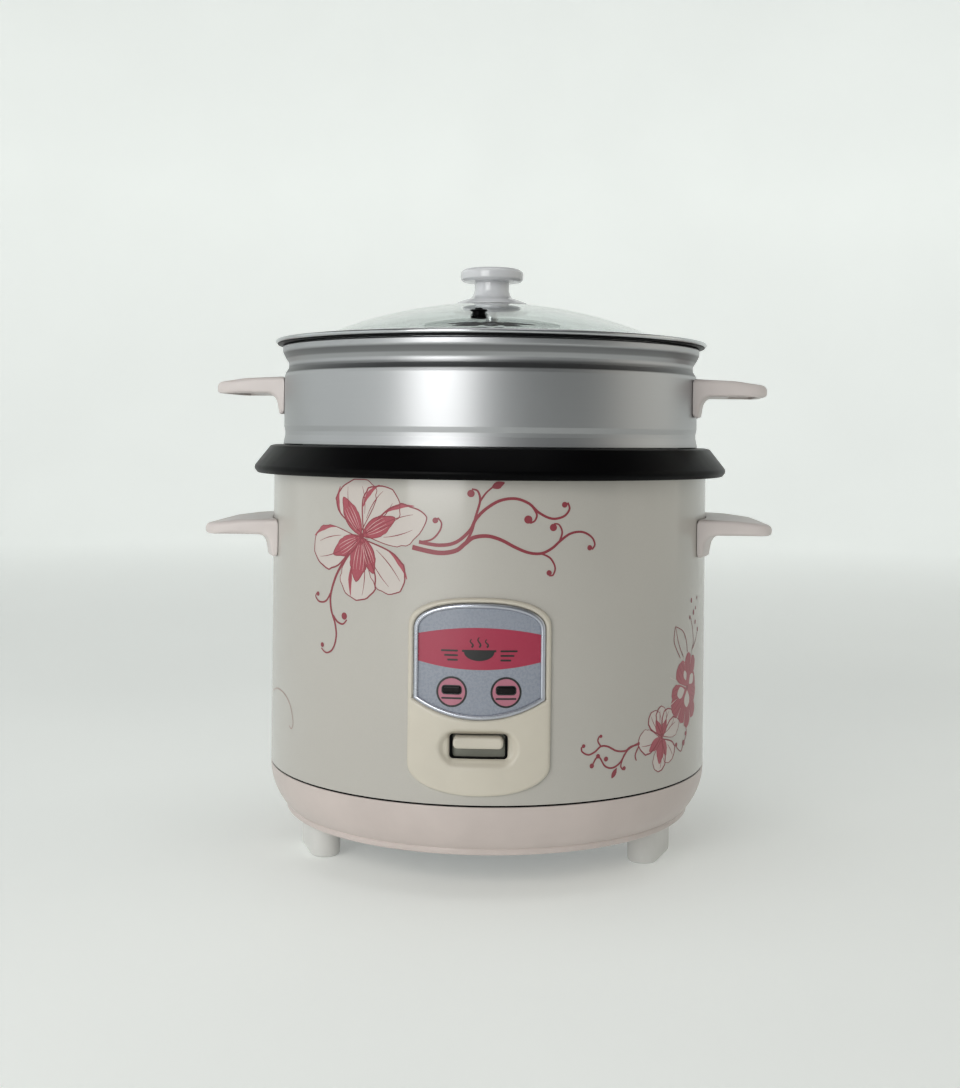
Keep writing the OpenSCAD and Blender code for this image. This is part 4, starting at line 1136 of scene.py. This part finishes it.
def solid_flower(rose, line, gaps):
    """Solid petals running up the side, with pale windows and gaps between them."""
    flower = (135.0, 98.6)
    for angle, length, width in (
            (128, 18.5, 6.6), (84, 20.5, 4.2), (58, 20.5, 4.4), (20, 14, 5.4), (187, 19.5, 4.8),
            (212, 22, 6.4), (246, 21, 5.2), (269, 23, 4.6), (300, 20.5, 5.2), (338, 15, 5)):
        rose.area([petal(flower, angle, length, width, 0, 1.2, 0, 0.66)], 1.8)
        for side in (-0.45, 0.05, 0.5):
            vein(line, flower, angle, length, side * width, 0.42, 0.9, (0.15, 0.45, 0.1))
    for angle, start, length, width in ((112, 4.4, 10.4, 1.9), (33, 3.2, 10.8, 2.9), (191, 3.6, 12.4, 3.2),
                                        (268, 1.4, 10.6, 3.6)):
        gaps.area([petal(flower, angle, length, width, start, 0, 0, 0.58, 12)], 1.1)
    for angle in (106, 71, 199, 230, 258, 284, 319, 158):
        vein(gaps, flower, angle, 21.5, 0, 0.6, 1.0, (0.1, 0.35, 0.7))
    line.dot(*flower, 1.3)


def sprigs(line):
    # leaf outlines and sprigs above the spray
    draw(line, [
        ([(126, 115.6), (119.4, 124), (119.2, 129), (120.2, 133.2)], 0.5, 0.6, 0.4),
        ([(120.2, 133.2), (128.6, 130), (133.2, 124.6), (135, 118)], 0.4, 0.6, 0.5),
        ([(120.6, 132.4), (123.4, 125), (126.8, 119.4), (129.6, 116)], 0.3, 0.5, 0.4),
        ([(142, 117.8), (144.2, 123), (142.4, 130), (139.4, 136)], 0.5, 0.5, 0.4),
        ([(142.4, 118.4), (147.6, 122.4), (151.4, 127.4)], 0.5, 0.5, 0.4)],
        [(140.2, 145.4, 1.1), (147.8, 140.6, 0.8), (144, 138.6, 1.2), (138.2, 136.4, 0.9), (147, 133, 1.0),
         (152, 128.4, 1.0), (150, 146, 0.8)], 1.3, 10)
    # scroll on the left of the spray
    draw(line, [
        ([(90, 75), (83.6, 74.2), (80.2, 72.6), (74.4, 73.2), (68.8, 76), (64.6, 76.4), (61, 73.9),
          (57.3, 72.8), (53.8, 74.6), (53.4, 77)], 1.0, 1.0, 0.8),
        ([(64.6, 76.5), (62.8, 79.4), (63.8, 81.8)], 0.9, 0.8, 0.8),
        ([(90, 75.6), (82, 73), (76.8, 67), (71.8, 64.8), (67.2, 66.2), (63.2, 71.4), (59.8, 67.6)],
         1.0, 1.0, 0.8),
        ([(79.4, 70.8), (77.2, 65.4), (78.6, 63)], 0.9, 0.8, 0.8),
        ([(89.6, 74), (87, 69.6), (87.8, 66.6)], 0.9, 0.8, 0.7),
        ([(132.6, 79), (134.8, 74), (130.4, 68.6), (127.4, 65.4), (121.4, 69.4)], 0.5, 0.6, 0.5)],
        [(54.6, 77.4, 1.0), (64.6, 81.6, 0.9), (63.0, 71.6, 1.2), (59.4, 67.0, 1.3), (67.8, 69.7, 1.3),
         (79.4, 63.7, 1.1), (133.6, 74.0, 1.2), (130.8, 69.4, 1.6), (122.2, 69.8, 1.2)])
    line.area([petal((71.4, 59.4), 58, 5.6, 1.3, 0, -0.4, 0, 0.5, 8)], 0.8)


# ---------------------------------------------------------------- carried CAD pieces

CAD_LOOKS = {
    "plain_steel": ("bottom_plate", "tie_rods", "inner_casing", "plate_posts", "thermostat_frame",
                    "lever_bracket"),
    "screw_steel": ("foot_screws", "tie_rod_screws", "ring_screws", "body_handle_screws", "thermostat_screws",
                    "lever_pin", "bracket_screws", "inlet_screws", "steamer_rivets"),
    "spring_steel": ("sensor_spring", "magnet_spring"), "printed_steel": ("outer_shell",),
    "key_plate": ("switch_lever",), "brass_part": ("magnet_rod", "inlet_pins"),
    "cast_aluminium": ("heating_plate",), "pot_aluminium": ("sensor_cap",),
    "steamer_aluminium": ("steamer_floor",), "heater_sheath": ("heating_element",),
    "heater_band": ("keep_warm_band",), "ferrite": ("sensor_ferrite", "thermostat_magnet"),
    "white_plastic": ("lamp_holder", "thermal_fuse"), "lamp_glass": ("cook_lamp", "warm_lamp"),
    "black_plastic": ("microswitch", "inlet_socket"), "crimson_plastic": ("microswitch_plunger",),
    "wire_brown": ("live_wire",), "wire_blue": ("neutral_wire",), "wire_white": ("element_wire",),
    "wire_green": ("earth_wire",),
}


def dress_cad():
    for mat, nodes in CAD_LOOKS.items():
        for ob in [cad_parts[node] for node in nodes]:
            if not ob.material_slots:
                ob.data.materials.append(M[mat])
            for slot in ob.material_slots:
                slot.material = M[mat]


# ---------------------------------------------------------------- studio

def build_studio():
    floor_r, cove_r, wall_z = 2300, 900, 2600
    sweep = [(floor_r * k / 8, 0) for k in range(9)]
    for a in [pi / 2 * k / 16 for k in range(1, 17)]:
        sweep.append((floor_r + cove_r * sin(a), cove_r * (1 - cos(a))))
    sweep += [(floor_r + cove_r, wall_z)]
    ob = mesh_object("studio_floor", *skin(turned(sweep, 96), "open"))
    ob.data.materials.append(studio_paper())

    world = bpy.data.worlds.new("studio_world")
    world.use_nodes = True
    world.node_tree.nodes["Background"].inputs[0].default_value = (0.94, 0.94, 0.93, 1)
    world.node_tree.nodes["Background"].inputs[1].default_value = 0.15
    bpy.context.scene.world = world

    # azimuth, distance and height, size in metres, power, colour
    soft_box("key", -24, 1.5, 0.55, (0.8, 0.9), 9.8, (1, 0.995, 0.985))
    soft_box("left", -85, 1.9, 0.8, (2.4, 1.8), 5.6, (0.96, 0.98, 1))
    soft_box("right", 92, 1.7, 0.7, (1.6, 1.6), 3.4, (1, 0.9, 0.77))
    soft_box("top", 0, 0.1, 1.7, (1.0, 1.0), 4, (1, 1, 1))


def studio_paper():
    """Pale paper, glowing a little by itself and more so behind the object as painted light, with painted
    shade towards the front right.
    """
    m = Mat("studio_paper", 0.7)
    x, y, _ = m.xyz()
    paper = m.ramp(m.noise(3, 2), (0.3, srgb(236, 239, 236)), (0.7, srgb(241, 244, 241)))
    # painted shade: the paper is darker towards the front right, as if a cutter card shaded it
    painted_shade_angle = radians(38)
    towards = m.math("SUBTRACT", m.times(x, sin(painted_shade_angle)), m.times(y, cos(painted_shade_angle)))
    painted_shade_share = m.remap(towards, "SMOOTHSTEP", From_Min=1.3, From_Max=3.1)
    m.color(m.mix(painted_shade_share, paper, srgb(88, 92, 94)))
    # painted light: the paper glows, more so behind the object
    behind_object = m.remap(y, "SMOOTHSTEP", From_Min=0.4, From_Max=3.0)
    m.feed(m.bsdf.inputs["Emission Strength"], m.math("MULTIPLY_ADD", behind_object, 0.2, 0.18))
    m.feed(m.bsdf.inputs["Emission Color"], (0.97, 1.0, 0.985, 1))
    return m.m


def soft_box(name, azimuth, distance, height, size, power, color):
    """A large area light at an azimuth (0 is in front, positive to the right), aimed at the object."""
    a = radians(azimuth)
    light = bpy.data.lights.new(name, "AREA")
    light.shape = "RECTANGLE"
    light.size, light.size_y = size
    light.energy = power
    light.color = color
    ob = bpy.data.objects.new(name, light)
    place = Vector((distance * sin(a), -distance * cos(a), height))
    ob.location = place
    ob.rotation_euler = (Vector((0, 0, 0.17)) - place).to_track_quat("-Z", "Y").to_euler()
    bpy.context.scene.collection.objects.link(ob)


# ---------------------------------------------------------------- assembly

build_camera()
build_materials()
build_studio()
build_base()
build_rim_ring()
build_seam_shade()
build_feet()
for side, name in ((-1, "left"), (1, "right")):
    # the body's two grips are fitted a little apart in height
    handle("body_handle_" + name, "cooker", BODY_R, 47, side, 0, (3.1, 8.9), side * 1.2)
    handle("steamer_handle_" + name, "steamer", STEAMER_R, 29, side, radians(-4), (3.4, 9.9))
build_pot()
build_steamer()
build_lid()
build_panel()
build_flowers()
dress_cad()

bpy.context.scene.view_settings.view_transform = "Standard"
bpy.context.view_layer.update()
